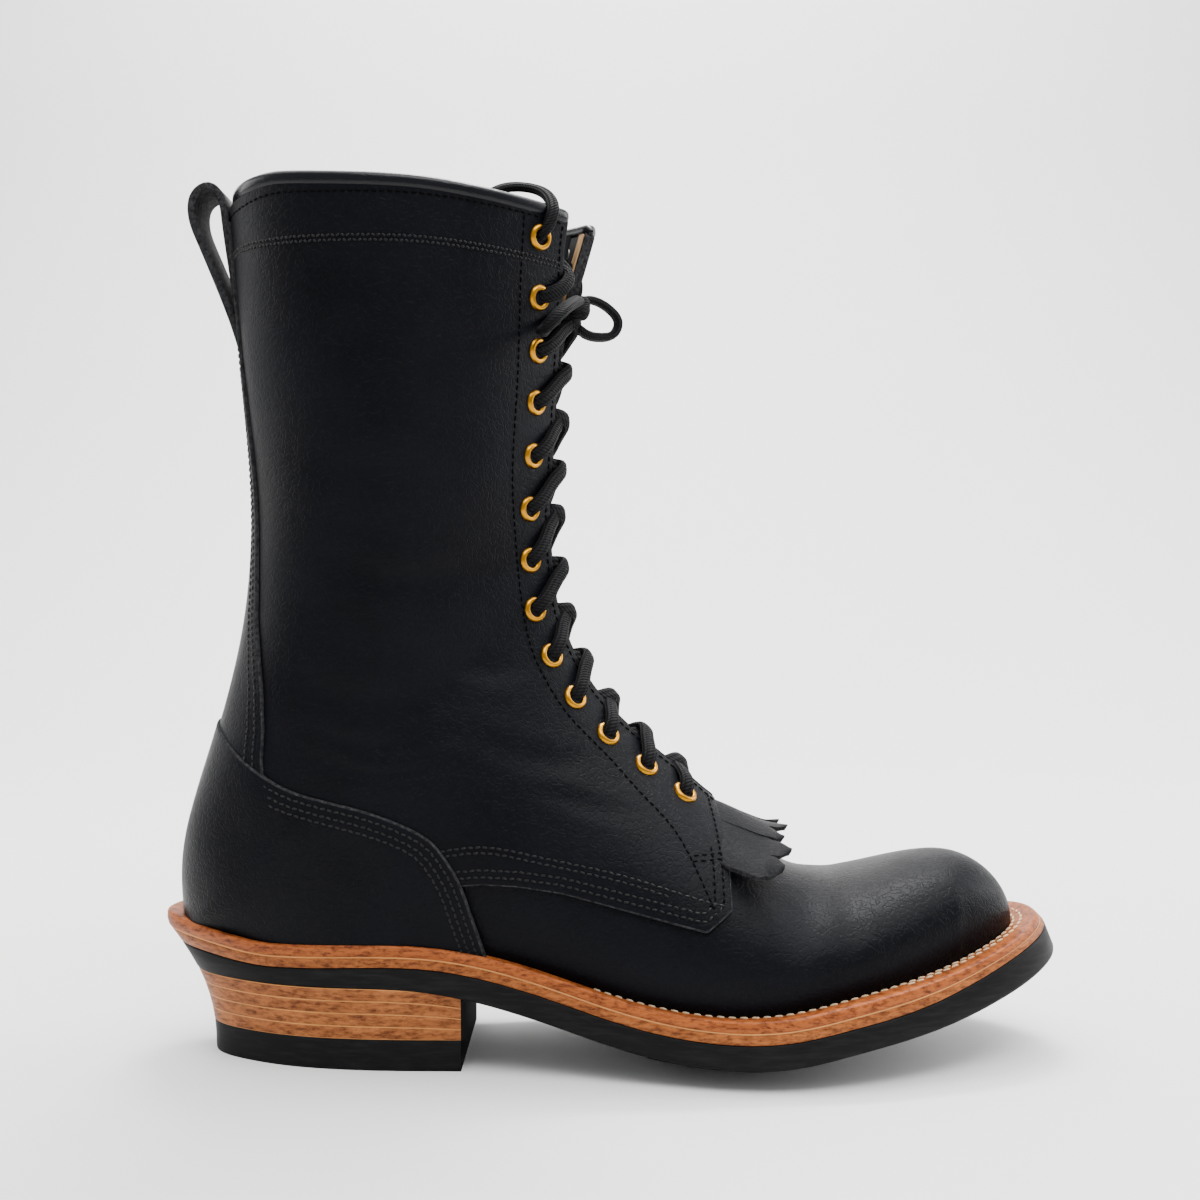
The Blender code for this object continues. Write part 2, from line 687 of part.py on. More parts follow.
def sheet(name, rows, material, slits=None):
    """Closed sheet from rows of (outer, inner) pairs of points; slits(row, column) leaves a cell open."""
    width = len(rows[0])
    outer = [pair[0] for row in rows for pair in row]
    inner = [pair[1] for row in rows for pair in row]
    faces = []
    for i in range(len(rows) - 1):
        for j in range(width - 1):
            if not (slits and slits(i, j)):
                a, b = i * width + j, (i + 1) * width + j
                faces += [(a, a + 1, b + 1), (a, b + 1, b)]
    return solid(name, *thicken(outer, inner, faces), material)


def tongue_point(k, arc, depth):
    """Point of the upper's surface moved straight back from the ridge into the boot."""
    side = LATERAL if arc < 0 else MEDIAL
    ridge, base = section(k, side)[:2]
    inward = (base - ridge) * (1.0, 0.0, 1.0)
    return on_section(k, side, abs(arc)) + depth * inward / np.linalg.norm(inward)


def make_tongue():
    """Leather behind the throat, lapping under both facings."""
    rows = []
    for k in np.linspace(THROAT_AT - TONGUE_ROOT, COLLAR_AT - TONGUE_SHORT, 15):
        arcs = np.linspace(-throat_half(k, LATERAL) - TONGUE_LAP, throat_half(k, MEDIAL) + TONGUE_LAP, 9)
        deep = TONGUE_DEPTH + TONGUE
        rows.append([(tongue_point(k, arc, TONGUE_DEPTH), tongue_point(k, arc, deep)) for arc in arcs])
    sheet("tongue", rows, finish("tongue_leather", (0.02, 0.02, 0.022), 0.6))


def kiltie_columns():
    """Shares across the kiltie of each tooth's two edges."""
    tooth = 2.0 / KILTIE_TEETH
    edges = []
    for i in range(KILTIE_TEETH):
        start = -1.0 + tooth * i
        edges += [start + tooth * KILTIE_SLIT, start + tooth * (1 - KILTIE_SLIT)]
    return edges


def make_kiltie():
    """Flap lying on the vamp in front of the facings, with a fringe of teeth that lifts off it."""
    shares = kiltie_columns()
    rows = []
    for step in np.linspace(0.0, 1.0, 5):
        k = THROAT_AT - 1.0 - KILTIE_LENGTH * step
        half = blend(KILTIE_ROOT_HALF, KILTIE_TIP_HALF, step)
        lift = blend(KILTIE_SEAT, KILTIE_TIP_LIFT, step**1.5)
        arcs = [half * share for share in shares]
        rows.append([(across(k, arc, lift + KILTIE), across(k, arc, lift)) for arc in arcs])

    def slits(row, column):
        return column % 2 == 1 and row >= KILTIE_BODY_ROWS

    sheet("kiltie", rows, finish("kiltie_leather", (0.025, 0.025, 0.027), 0.6), slits)


def spin_tube(route, radius, sides):
    """Points and faces of a closed tube along a route."""
    route = np.asarray(route, float)
    heading = np.gradient(route, axis=0)
    heading /= np.linalg.norm(heading, axis=1)[:, None]
    up = np.cross(heading[0], [0.0, 0.0, 1.0] if abs(heading[0][2]) < 0.8 else [1.0, 0.0, 0.0])
    points, rows = [], []
    for spot, ahead in zip(route, heading):
        up = up - ahead * np.dot(up, ahead)
        up /= np.linalg.norm(up)
        out = np.cross(ahead, up)
        row = []
        for turn in np.linspace(0.0, 2 * math.pi, sides, endpoint=False):
            row.append(len(points))
            points.append(spot + radius * (math.cos(turn) * up + math.sin(turn) * out))
        rows.append(row + row[:1])
    faces = strips(rows)
    return points, faces + [tuple(rows[0][:-1]), tuple(rows[-1][:-1])]


def make_binding():
    """Rolled edge that stands on the collar from one facing round the back to the other."""
    route = []
    for side in (LATERAL, MEDIAL):
        arcs = np.linspace(throat_half(COLLAR_AT, side), girth(COLLAR_AT, side), 14)
        half_ring = []
        for arc in arcs:
            rise = on_section(COLLAR_AT, side, arc) - on_section(COLLAR_AT - 2.0, side, arc)
            rise /= np.linalg.norm(rise)
            half_ring.append(skin(COLLAR_AT, side, arc, -WALL / 2) + rise * (BINDING + GAP))
        route += half_ring if side == LATERAL else half_ring[-2::-1]
    leather = finish("binding_leather", (0.03, 0.03, 0.033), 0.35)
    solid("collar_binding", *spin_tube(route, BINDING, 8), leather)


def counter_top(x):
    """Height of the heel counter's upper edge."""
    return float(np.interp(x, column(COUNTER_EDGE, "x"), column(COUNTER_EDGE, "z")))


def form(name, lift):
    """Guide: the rear of the upper as one closed body, lifted off its surface."""
    points, lateral, medial = [], [], []
    for k in [k for k in upper_rows() if SECTION_AT["instep"] - 2 < k < SECTION_AT["calf_low"]]:
        for side, rows in ((LATERAL, lateral), (MEDIAL, medial)):
            rows.append(list(range(len(points), len(points) + COLUMNS)))
            points += [skin(k, side, arc, lift) for arc in upper_columns(k, side)]
        if k >= HEEL_AT:
            points[lateral[-1][-1]][1] = 0.0
            medial[-1][-1] = lateral[-1][-1]
    faces = [tuple(reversed(face)) for face in strips(lateral)] + strips(medial)
    faces += strips([[a[0], b[0]] for a, b in zip(lateral, medial)])
    faces += strips([[b[-1], a[-1]] for a, b in zip(lateral, medial)])
    for a, b in ((lateral[0], medial[0]), (lateral[-1], medial[-1])):
        faces.append(tuple(dict.fromkeys(a + b[::-1])))
    guide = solid(name, points, faces, finish(name, (0.5, 0.5, 0.5), 0.5))
    return as_guide(guide)


def as_guide(piece):
    """Show a cutter or guide as wires only."""
    piece.hide_render = True
    piece.display_type = "WIRE"
    return piece


def counter_outline():
    """Guide: the counter's side view, drawn through the boot from side to side."""
    heights = [(row.x, row.z) for row in COUNTER_EDGE]
    for x in np.linspace(COUNTER_EDGE[-1].x + 2.0, COUNTER_EDGE[0].x, 9):
        edge = max(x, SEAT[0] + 2.0)
        angle = math.degrees(math.acos((FEATHER_CENTRE - edge) / (FEATHER_LENGTH / 2)))
        heights.append((x, base_point(angle, LATERAL)[2] + COUNTER_LIFT))
    count = len(heights)
    points = [(x, y, z) for y in (-70.0, 70.0) for x, z in heights]
    walls = [(i, (i + 1) % count, (i + 1) % count + count, i + count) for i in range(count)]
    caps = [tuple(range(count)), tuple(range(count, 2 * count))]
    return as_guide(solid("counter_outline", points, walls + caps, finish("guide", (0.5, 0.5, 0.5), 0.5)))


def boolean(piece, operation, other):
    """Combine a piece with another body."""
    step = piece.modifiers.new(operation.lower(), "BOOLEAN")
    step.operation = operation
    step.object = other
    step.solver = "EXACT"


def make_counter():
    """Heel counter: the part of a raised skin round the heel that its side outline keeps."""
    inner = form("counter_inner", COUNTER_SEAT)
    outer = form("heel_counter", COUNTER_SEAT + COUNTER)
    outer.hide_render = False
    outer.display_type = "TEXTURED"
    outer.data.materials[0] = finish("counter_leather", (0.02, 0.02, 0.022), 0.5)
    boolean(outer, "INTERSECT", counter_outline())
    boolean(outer, "DIFFERENCE", inner)


def strap_half(z):
    """Half width of the back strap, which spreads towards the counter."""
    return STRAP_HALF + (STRAP_FOOT_HALF - STRAP_HALF) * max((STRAP_SPREAD_TOP - z) / STRAP_SPREAD, 0.0) ** 1.6


def strap_start(share):
    """Section where one line up the strap begins, just above the counter's edge."""
    low, high = SECTION_AT["counter"], SECTION_AT["calf_low"]
    for _ in range(30):
        k = (low + high) / 2
        spot = back_skin(k, share, 0.0)
        if spot[2] - counter_top(spot[0]) > STRAP_CLEAR:
            high = k
        else:
            low = k
    return high


def back_skin(k, share, lift):
    """Point of the strap's seat at a share of its half width from the back seam."""
    side = LATERAL if share < 0 else MEDIAL
    spot = skin(k, side, girth(k, side) - abs(share) * strap_half(BACK_Z(k)), lift)
    if share == 0.0:
        spot[1] = 0.0
    return spot


def smooth_route(points, count):
    """Evenly stepped points on a smooth curve through a route's own points."""
    points = np.asarray(points, float)
    run = np.concatenate([[0.0], np.cumsum(np.linalg.norm(np.diff(points, axis=0), axis=1))])
    curves = [Spline(run, points[:, i]) for i in range(points.shape[1])]
    return np.array([[curve(t) for curve in curves] for t in np.linspace(0.0, run[-1], count)])


def make_strap():
    """Back strap from the counter to the collar, turned over at its top into the pull loop."""
    shares = np.linspace(-1.0, 1.0, 9)
    starts = [strap_start(share) for share in shares]
    rows = []
    for step in np.linspace(0.0, 1.0, 12):
        seat = STRAP_SEAT + STRAP_FOOT_SEAT * (1 - step) ** 2
        row = []
        for share, start in zip(shares, starts):
            k = blend(start, COLLAR_AT - STRAP_LEAVES, step**1.3)
            row.append((back_skin(k, share, seat + STRAP), back_skin(k, share, seat)))
        rows.append(row)
    loop = smooth_route(LOOP_ROUTE, 14)
    heading = np.gradient(loop, axis=0)
    heading /= np.linalg.norm(heading, axis=1)[:, None]
    for (x, z), (dx, dz) in zip(loop, heading):
        offset = np.array([-dz, 0.0, dx]) * STRAP / 2
        spots = [np.array([x, share * STRAP_HALF, z]) for share in shares]
        rows.append([(spot + offset, spot - offset) for spot in spots])
    sheet("pull_strap", rows, finish("strap_leather", (0.02, 0.02, 0.022), 0.6))


def ridge_sections(lengths):
    """Sections at given ways up the ridge from the throat."""
    ks = np.linspace(THROAT_AT, COLLAR_AT, 400)
    ridge = np.array([(RIDGE_X(k), RIDGE_Z(k)) for k in ks])
    run = np.concatenate([[0.0], np.cumsum(np.linalg.norm(np.diff(ridge, axis=0), axis=1))])
    return np.interp(lengths, run, ks)


def eyelet_sections():
    """Sections of the eyelets from the lowest to the highest."""
    pitches = [EYELET_LOW_PITCH] * (EYELETS_LOW - 1) + [EYELET_PITCH] * (EYELETS - EYELETS_LOW)
    return ridge_sections(EYELET_FIRST + np.concatenate([[0.0], np.cumsum(pitches)]))


def eyelet_arc(k, side):
    """Way from the ridge to an eyelet's middle."""
    return throat_half(k, side) + EYELET_INSET


def make_eyelets():
    """Brass rings on both facings."""
    brass = finish("brass", (0.72, 0.47, 0.16), 0.3, 1.0)
    profile = [
        (EYELET_INNER, 0.0),
        (EYELET_OUTER, 0.0),
        (EYELET_MIDDLE, EYELET_RISE),
    ]
    for side, label in ((LATERAL, "outer"), (MEDIAL, "inner")):
        for i, k in enumerate(eyelet_sections()):
            seat = skin(k, side, eyelet_arc(k, side), EYELET_SEAT)
            axis = skin(k, side, eyelet_arc(k, side), EYELET_SEAT + 1.0) - seat
            u = np.cross(axis, [0.0, 0.0, 1.0])
            u /= np.linalg.norm(u)
            v = np.cross(axis, u)
            points, rows = [], []
            for turn in np.linspace(0.0, 2 * math.pi, 8, endpoint=False):
                row = []
                for radius, rise in profile:
                    row.append(len(points))
                    points.append(seat + axis * rise + radius * (math.cos(turn) * u + math.sin(turn) * v))
                rows.append(row + row[:1])
            solid(f"eyelet_{label}_{i + 1:02d}", points, strips(rows + rows[:1]), brass)


def lace_bar(k_from, k_to, start_side, lift, hump):
    """Tube over the throat from an eyelet on one side to one on the other, lowest in its middle."""
    shares = np.linspace(-1.0, 1.0, 5)
    route = []
    for share in shares:
        k = blend(k_from, k_to, (share + 1) / 2)
        side = start_side if share < 0 else -start_side
        arc = side * abs(share) * eyelet_arc(k, side)
        route.append(across(k, arc, lift + (hump if share == 0.0 else 0.0)))
    return spin_tube(route, LACE / 2, 4)


def joined(name, tubes, material):
    """One mesh of several tubes that don't meet."""
    points, faces = [], []
    for tube_points, tube_faces in tubes:
        faces += [tuple(i + len(points) for i in face) for face in tube_faces]
        points += tube_points
    return solid(name, points, faces, material)


def make_lace(cotton):
    """Crossings of the lace over the throat, joined into one net above the eyelets."""
    ks = eyelet_sections()
    lift = EYELET_SEAT + EYELET_RISE + 3 * GAP + LACE / 2
    pairs = list(zip(ks, ks[1:]))
    net = joined("lace", [lace_bar(a, b, LATERAL, lift, -LACE_DIP) for a, b in pairs], cotton)
    other = joined("lace_other_way", [lace_bar(a, b, MEDIAL, lift, 0.6 - LACE_DIP) for a, b in pairs], cotton)
    low_bar = joined("lace_low_bar", [lace_bar(ks[0], ks[0], LATERAL, lift, 0.3 - LACE_DIP)], cotton)
    boolean(net, "UNION", as_guide(other))
    boolean(net, "UNION", as_guide(low_bar))


def make_cord(name, route, count, material):
    """Round cord with filled ends along a smooth curve."""
    curve = bpy.data.curves.new(name, "CURVE")
    curve.dimensions = "3D"
    curve.bevel_depth = LACE / 2 * MM
    curve.bevel_resolution = 2
    curve.use_fill_caps = True
    spline = curve.splines.new("POLY")
    spots = smooth_route(route, count) * MM
    spline.points.add(count - 1)
    for point, spot in zip(spline.points, spots):
        point.co = (*spot, 1.0)
    curve.materials.append(material)
    piece = bpy.data.objects.new(name, curve)
    bpy.context.scene.collection.objects.link(piece)


def end_route():
    """Points of the lace's end, from beside the top outer eyelet into the shaft."""
    route = []
    for point in END_ROUTE:
        rise = on_section(COLLAR_AT, LATERAL, point.arc) - on_section(COLLAR_AT - 2.0, LATERAL, point.arc)
        rise /= np.linalg.norm(rise)
        route.append(skin(COLLAR_AT, LATERAL, point.arc, point.lift) + rise * point.up)
    return route


def make_bow(cotton):
    """Knot and two loops on the front of the shaft, and the end that goes in over the collar."""
    build = bmesh.new()
    bmesh.ops.create_uvsphere(build, u_segments=12, v_segments=8, radius=1.0)
    for vert in build.verts:
        vert.co = [(c + v * h) * MM for c, v, h in zip(KNOT_CENTRE, vert.co, KNOT_HALF)]
    mesh = bpy.data.meshes.new("lace_knot")
    build.to_mesh(mesh)
    build.free()
    place(mesh, "lace_knot", cotton)
    make_cord("lace_loop_inner", LOOP_FAR_ROUTE, 13, cotton)
    make_cord("lace_loop_outer", LOOP_NEAR_ROUTE, 15, cotton)
    make_cord("lace_end", end_route(), 10, cotton)


def main():
    for item in list(bpy.data.objects):
        bpy.data.objects.remove(item, do_unlink=True)
    make_sole()
    make_heel()
    make_upper()
    make_tongue()
    make_kiltie()
    make_binding()
    make_counter()
    make_strap()
    make_eyelets()
    cotton = finish("lace_cotton", (0.02, 0.02, 0.022), 0.85)
    make_lace(cotton)
    make_bow(cotton)


main()
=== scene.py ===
"""Studio scene of a black lace-up boot with a fringed kiltie, built over its solids.

X runs from heel to toe, Y towards the inner side of the foot and Z up. Sizes and tables are in
millimetres, and every mesh is scaled to metres as it is made.
"""

import functools
import math
from collections import namedtuple

import bpy
import numpy as np
from bpy.props import FloatProperty, FloatVectorProperty, IntProperty, PointerProperty
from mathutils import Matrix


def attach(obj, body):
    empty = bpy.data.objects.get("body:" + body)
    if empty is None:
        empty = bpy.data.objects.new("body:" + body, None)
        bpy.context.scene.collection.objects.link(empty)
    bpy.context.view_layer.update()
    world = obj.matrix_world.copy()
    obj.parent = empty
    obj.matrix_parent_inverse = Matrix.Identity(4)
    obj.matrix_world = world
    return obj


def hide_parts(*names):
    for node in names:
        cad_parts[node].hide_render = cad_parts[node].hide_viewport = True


bl_info = {
    "name": "Kiltie boot studio",
    "version": (1, 0, 0),
    "blender": (4, 5, 0),
    "location": "3D View > Sidebar > Boot",
    "description": "Builds a lace-up boot with a kiltie and the studio around it",
    "category": "Object",
}

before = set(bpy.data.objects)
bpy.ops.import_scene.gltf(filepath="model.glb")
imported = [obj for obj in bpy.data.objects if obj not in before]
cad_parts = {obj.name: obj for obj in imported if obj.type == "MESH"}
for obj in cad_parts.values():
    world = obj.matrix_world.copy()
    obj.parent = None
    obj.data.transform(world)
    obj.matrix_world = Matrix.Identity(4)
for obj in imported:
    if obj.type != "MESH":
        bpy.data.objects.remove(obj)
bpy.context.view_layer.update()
MM = 0.001
LATERAL, MEDIAL = -1, 1

# Camera of the photograph
CAMERA_PLACE = (-4.4, -530.0, 154.8)
CAMERA_SENSOR = 36.0

# Sole: length, layer heights over the ground line, heel, welt, steps of the meshes, and lugs
SOLE_LENGTH = 310.0
OUTSOLE_TOP = 8.1
WELT_TOP = 15.6
UPPER_SINK = 1.2
HEEL_BREAST = -50.0
HEEL_LIP = 5.4
HEEL_LIP_SPAN = (-112.0, -154.0)
HEEL_LIP_SHARES = (0.0, 0.65, 1.0)
HEEL_THIN = 1.9
HEEL_THIN_SPAN = (-55.0, -120.0)
HEEL_THIN_SHARES = (0.0, 1.0, 0.6)
TOE_THICK = 2.6
TOE_THICK_SPAN = (85.0, 140.0)
TOE_THICK_SHARES = (0.0, 1.0, 0.0)
HEEL_FLARE_SIDE = 0.16
HEEL_FLARE_BACK = 17.0
HEEL_FLARE_CURVE = 2.2
HEEL_RAND_HEIGHT = 44.0
HEEL_FLARE_START = -25.0
HEEL_FLARE_FULL = -75.0
WELT_SET_BACK_SIDE = 1.2
WELT_SET_BACK_TOE = 7.0
SOLE_STEPS = 150
WELT_TOP_STEPS = 9
WELT_UNDER_UPPER = 3.0
UNDERSIDE_ROWS = 420
UNDERSIDE_COLUMNS = 61
UNDERSIDE_INSET = 0.8
WELT_ROW_STEPS = 300
WELT_STITCH_LIFT = 0.1
WELT_STITCH_SLANT = 0.25
HEEL_STEPS = 60
LUG_FIRST = 10.0
LUG_PITCH = 18.0
LUG_LENGTH = 12.0
LUG_SLOPE = 1.2
LUG_END_SPAN = (0.64, 0.59)
LUG_TOE_SPAN = (55.0, 80.0)
LUG_TOE_DEPTH = 1.4

# Upper: feather line where it meets the welt, sections, throat, collar, folds and the grid of its surface
FEATHER_LENGTH = 284.4
FEATHER_CENTRE = -2.1
SECTION_POWER = 2.25
CROWN_POWER = 2.0
THROAT_HALF = 5.5
THROAT_TOP_LATERAL = 17.0
THROAT_TOP_MEDIAL = 2.4
THROAT_SPREAD = 90.0
THROAT_ROUND = 7.0
COLLAR_FALL = 1.4
COLLAR_FALL_SPAN = (-55.0, -100.0)
COLLAR_FALL_BACK = 2.6
COLLAR_FALL_BACK_SPAN = (-108.0, -130.0)
CUT_CLEAR = 0.05
TIP_NORMAL = (1.0, 0.0, 0.3)
FOLD_LIP = 0.45
FOLD_LIP_AWAY = 1.6
FOLD_LIP_NARROW = 1.6
SECTION_HIGH_STEPS = 90
SECTION_LOW_STEPS = 70
DOME_ROWS = 30
FOOT_ROWS = 160
SHAFT_ROWS = 130
COLUMNS = 105

# Panels and stays, where NOT_COUNTER and NOT_STRAP mark places that the piece never reaches
PANEL_SINK = 0.1
VAMP_BEVEL = 0.6
QUARTER_BEVEL = 0.5
COUNTER_BEVEL = 0.7
COUNTER_OVER_STRAP = 0.7
COUNTER_STRAP_SPAN = (-4.0, 3.0)
COUNTER_FRONT = -30.0
NOT_COUNTER = -9.0
STRAP_BEVEL = 0.5
STRAP_FRONT = -70.0
NOT_STRAP = -50.0
STRAP_UNDER_COUNTER = 6.0
STRAP_BELOW_COLLAR = 3.0
STAY_NEAR = 0.5
STAY_FAR = 2.6
STAY_START = 20.0
STAY_BELOW_COLLAR = 1.0
STAY_SINK = 0.2
STAY_HEIGHT = 0.5
STAY_BEVEL = 0.2
SHORTEST_ROW = 6.0
STITCH_LIFT = 0.06

# One stitch from end to end: place in shares of its length, thickness, and rise in radii of the thread
STITCH_SHAPE = ((-0.5, 0.3, -0.5), (-0.36, 0.85, -0.1), (0.0, 1.0, 0.0), (0.36, 0.85, -0.1), (0.5, 0.3, -0.5))
STITCH_SIDES = 6
StitchKind = namedtuple("StitchKind", "closeness zigzag thread")
PLAIN_ROW = StitchKind(1.0, 0.16, "grey")
CHAIN_ROW = StitchKind(0.72, 0.5, "grey")
BLACK_ROW = StitchKind(1.1, 0.12, "black")

# Upper's stitch rows: ways in from an edge or out from a drawn line, and where rows start and stop
FACING_ROW_IN = 2.0
REAR_ROW_IN = 0.6
COLLAR_EDGE_ROW_IN = 2.4
COLLAR_ROW_WAYS = (-0.8, 0.8)
QUARTER_FRONT_ROWS_IN = (2.2, 5.0)
QUARTER_FRONT_START = 108.0
QUARTER_SECOND_TOP = 72.0
QUARTER_LOW_ROWS_IN = (2.2, 4.4)
QUARTER_LOW_STOP = 112.0
QUARTER_ROWS_APART = 1.8
QUARTER_ROW_BACK = -60.0
QUARTER_SECOND_FRONT = 18.0
CORNER_HEIGHTS = (68.4, 70.0)
CORNER_BACK = 24.5
COUNTER_ROWS_IN = (1.8, 4.2, 6.4)
STRAP_ROWS_IN = (2.2, 5.0)
STRAP_ROWS_SHORT = (8.0, 40.0)

# Finishes
LEATHER_SHINE = 0.06
FLECK_STAIN = (0.26, 0.19, 0.14)

# Eyelets
EYELETS = 13
EYELET_FIRST = 15.6
EYELETS_LOW = 6
EYELET_LOW_PITCH = 16.2
EYELET_PITCH = 16.9
EYELET_INSET = 11.0
EYELET_STEPS = 40

# Eyelet from its middle outwards: radius, and rise over the leather
EYELET_RING = (
    (2.3, -1.0), (2.4, 0.3), (2.7, 0.85), (3.2, 1.1),
    (3.7, 1.0), (4.1, 0.7), (4.45, 0.15), (4.5, -0.4),
)
EYELET_WASHER = ((2.4, 0.3), (2.8, -0.25), (3.6, -0.25), (3.9, 0.2))
# Near-black disk inside each eyelet ring: painted shade of its opening, since the leather under it is not cut
EYELET_HOLE_SHADE = ((0.01, -0.2), (2.6, -0.2))
HOLE_SHADE_COLOUR = (0.002, 0.002, 0.002)

# Lace and knot
RIBBON_EASE = 3.0
RIBBON_TIP = 0.02
RIBBON_SQUARE = 0.8
STRAND_STEPS = 60
STRAND_SAG = 0.17
CROSSING_SPREAD = 0.45
OVER_LIFT = 1.5
UNDER_LIFT = -1.1
WEAVE_RIBS = 9
WEAVE_PITCH = 1.1
CORD_POINTS = 40
KNOT_STEPS = 40
KNOT_WRAPS = ((0.35, 1.0), (-0.5, 0.92), (1.3, 0.8))
KNOT_LACE_HALF = (2.2, 1.3)

# Rolled edge of the collar
BINDING_STEPS = 110
BINDING_SIDES = 20
BINDING_LAP = 1.0
BINDING_SINK = 0.4
BINDING_RISE = 0.45
BINDING_TUCK = 2.0
BINDING_TUCK_SPAN = (-118.0, -131.0)

# Tongue
TONGUE_DEPTH = 7.2
TONGUE_LAP = 13.0
TONGUE_ROOT = 8.0
TONGUE_SHORT = 4.0
TONGUE_ROWS = 90
TONGUE_COLUMNS = 41

# Kiltie
KILTIE_BODY = 0.68
KILTIE_SEAT = -2.2
KILTIE_ROOT_HALF = 37.0
KILTIE_TIP_HALF = 41.5
KILTIE_STEPS = np.linspace(0.0, 1.0, 36)
KILTIE_UNDER_FACINGS = 3.0
KILTIE_OVER_VAMP = 4.0
TOOTH_COLUMNS = 9
TOOTH_UNEVEN = 0.04
TOOTH_END_SHORT = 0.14
TOOTH_SLIT = 0.09
TOOTH_SLIT_RISE = 0.1
TOOTH_POINT = 0.33
TOOTH_POINT_SPAN = (0.76, 1.02)
TOOTH_SWAY = 1.3
TOOTH_ARCH = 0.5

# Paper, lights and sky of the studio: places and sizes of the lights in metres
PAPER_FRONT = -1600.0
PAPER_BEND = 900.0
PAPER_RADIUS = 900.0
PAPER_TOP = 3200.0
PAPER_HALF = 3000.0
SKY_COLOUR = (0.93, 0.94, 0.96)
SoftLight = namedtuple("SoftLight", "name place target size")
LIGHTS = [
    SoftLight("top", (0.05, 0.15, 1.65), (0.0, 0.05, 0.0), (2.8, 1.9)),
    SoftLight("key", (0.25, 0.35, 1.35), (0.05, 0.0, 0.05), (0.55, 0.4)),
    SoftLight("front", (0.3, -0.95, 1.75), (0.05, 0.0, 0.05), (1.5, 0.7)),
    SoftLight("toe", (1.6, 0.45, 0.8), (0.08, 0.0, 0.06), (1.0, 1.0)),
    SoftLight("heel", (-1.7, 0.35, 0.7), (-0.05, 0.0, 0.1), (1.0, 1.0)),
    SoftLight("backdrop", (0.1, 0.9, 2.0), (0.1, 1.7, 0.35), (0.7, 0.3)),
]

SoleStation = namedtuple("SoleStation", "angle sole_half feather_half swing")
SOLE_STATIONS = [
    SoleStation(0, 0.0, 0.0, 0.0),
    SoleStation(10, 10.2, 8.2, 0.0),
    SoleStation(20, 18.4, 15.4, 0.0),
    SoleStation(30, 25.8, 21.9, 0.0),
    SoleStation(40, 32.6, 28.4, 0.0),
    SoleStation(50, 36.8, 32.2, -0.3),
    SoleStation(60, 38.3, 33.0, -1.0),
    SoleStation(80, 38.5, 31.5, -3.4),
    SoleStation(95, 47.0, 38.0, -4.2),
    SoleStation(110, 56.0, 46.0, -1.6),
    SoleStation(125, 54.0, 44.5, 3.2),
    SoleStation(140, 43.5, 34.5, 5.6),
    SoleStation(155, 30.0, 22.5, 6.0),
    SoleStation(168, 15.5, 11.5, 6.0),
    SoleStation(180, 0.0, 0.0, 6.0),
]

SoleProfile = namedtuple("SoleProfile", "x underside crown")
SOLE_PROFILE = [
    SoleProfile(-155, 28.2, 0.0),
    SoleProfile(-100, 27.3, 0.0),
    SoleProfile(-52, 24.8, 0.2),
    SoleProfile(-24, 17.2, 1.5),
    SoleProfile(4, 8.4, 2.6),
    SoleProfile(28, 4.2, 3.2),
    SoleProfile(58, 5.0, 3.2),
    SoleProfile(75, 8.2, 3.1),
    SoleProfile(107, 15.2, 2.2),
    SoleProfile(141, 27.6, 0.8),
    SoleProfile(155, 34.0, 0.0),
]

# Edges of the sole's layers, outside face from below upwards: height, and way in from the rim
EdgePoint = namedtuple("EdgePoint", "height inset")
OUTSOLE_EDGE = [
    EdgePoint(0.0, 9.0),
    EdgePoint(0.0, 1.0),
    EdgePoint(0.25, 0.3),
    EdgePoint(0.9, 0.0),
    EdgePoint(4.2, 0.0),
    EdgePoint(7.5, 0.0),
    EdgePoint(7.95, 0.25),
    EdgePoint(8.1, 0.8),
    EdgePoint(8.1, 9.0),
]
MIDSOLE_EDGE = [
    EdgePoint(8.0, 9.0),
    EdgePoint(8.1, 0.7),
    EdgePoint(8.25, 0.15),
    EdgePoint(8.6, 0.0),
    EdgePoint(10.0, 0.0),
    EdgePoint(11.2, 0.0),
    EdgePoint(11.5, 0.25),
    EdgePoint(11.5, 9.0),
]
GLUE_EDGE = [
    EdgePoint(11.4, 9.0),
    EdgePoint(11.4, 0.2),
    EdgePoint(11.55, 0.02),
    EdgePoint(11.8, 0.02),
    EdgePoint(11.95, 0.2),
    EdgePoint(11.95, 9.0),
]
WELT_EDGE = [
    EdgePoint(11.85, 9.0),
    EdgePoint(11.85, 0.3),
    EdgePoint(12.1, 0.0),
    EdgePoint(13.6, 0.0),
    EdgePoint(14.9, 0.05),
    EdgePoint(15.35, 0.3),
    EdgePoint(15.6, 0.9),
]

# Welt's stitch rows: way out from the upper, and station angle where the row starts
WELT_ROWS = ((1.0, 88.0), (3.4, 132.0))

# Edge of one lift of the heel from below upwards: share of its height, and way in
LIFT_EDGE = ((0.0, 0.2), (0.05, 0.05), (0.12, 0.0), (0.5, 0.0), (0.88, 0.0), (0.95, 0.05), (1.0, 0.2))

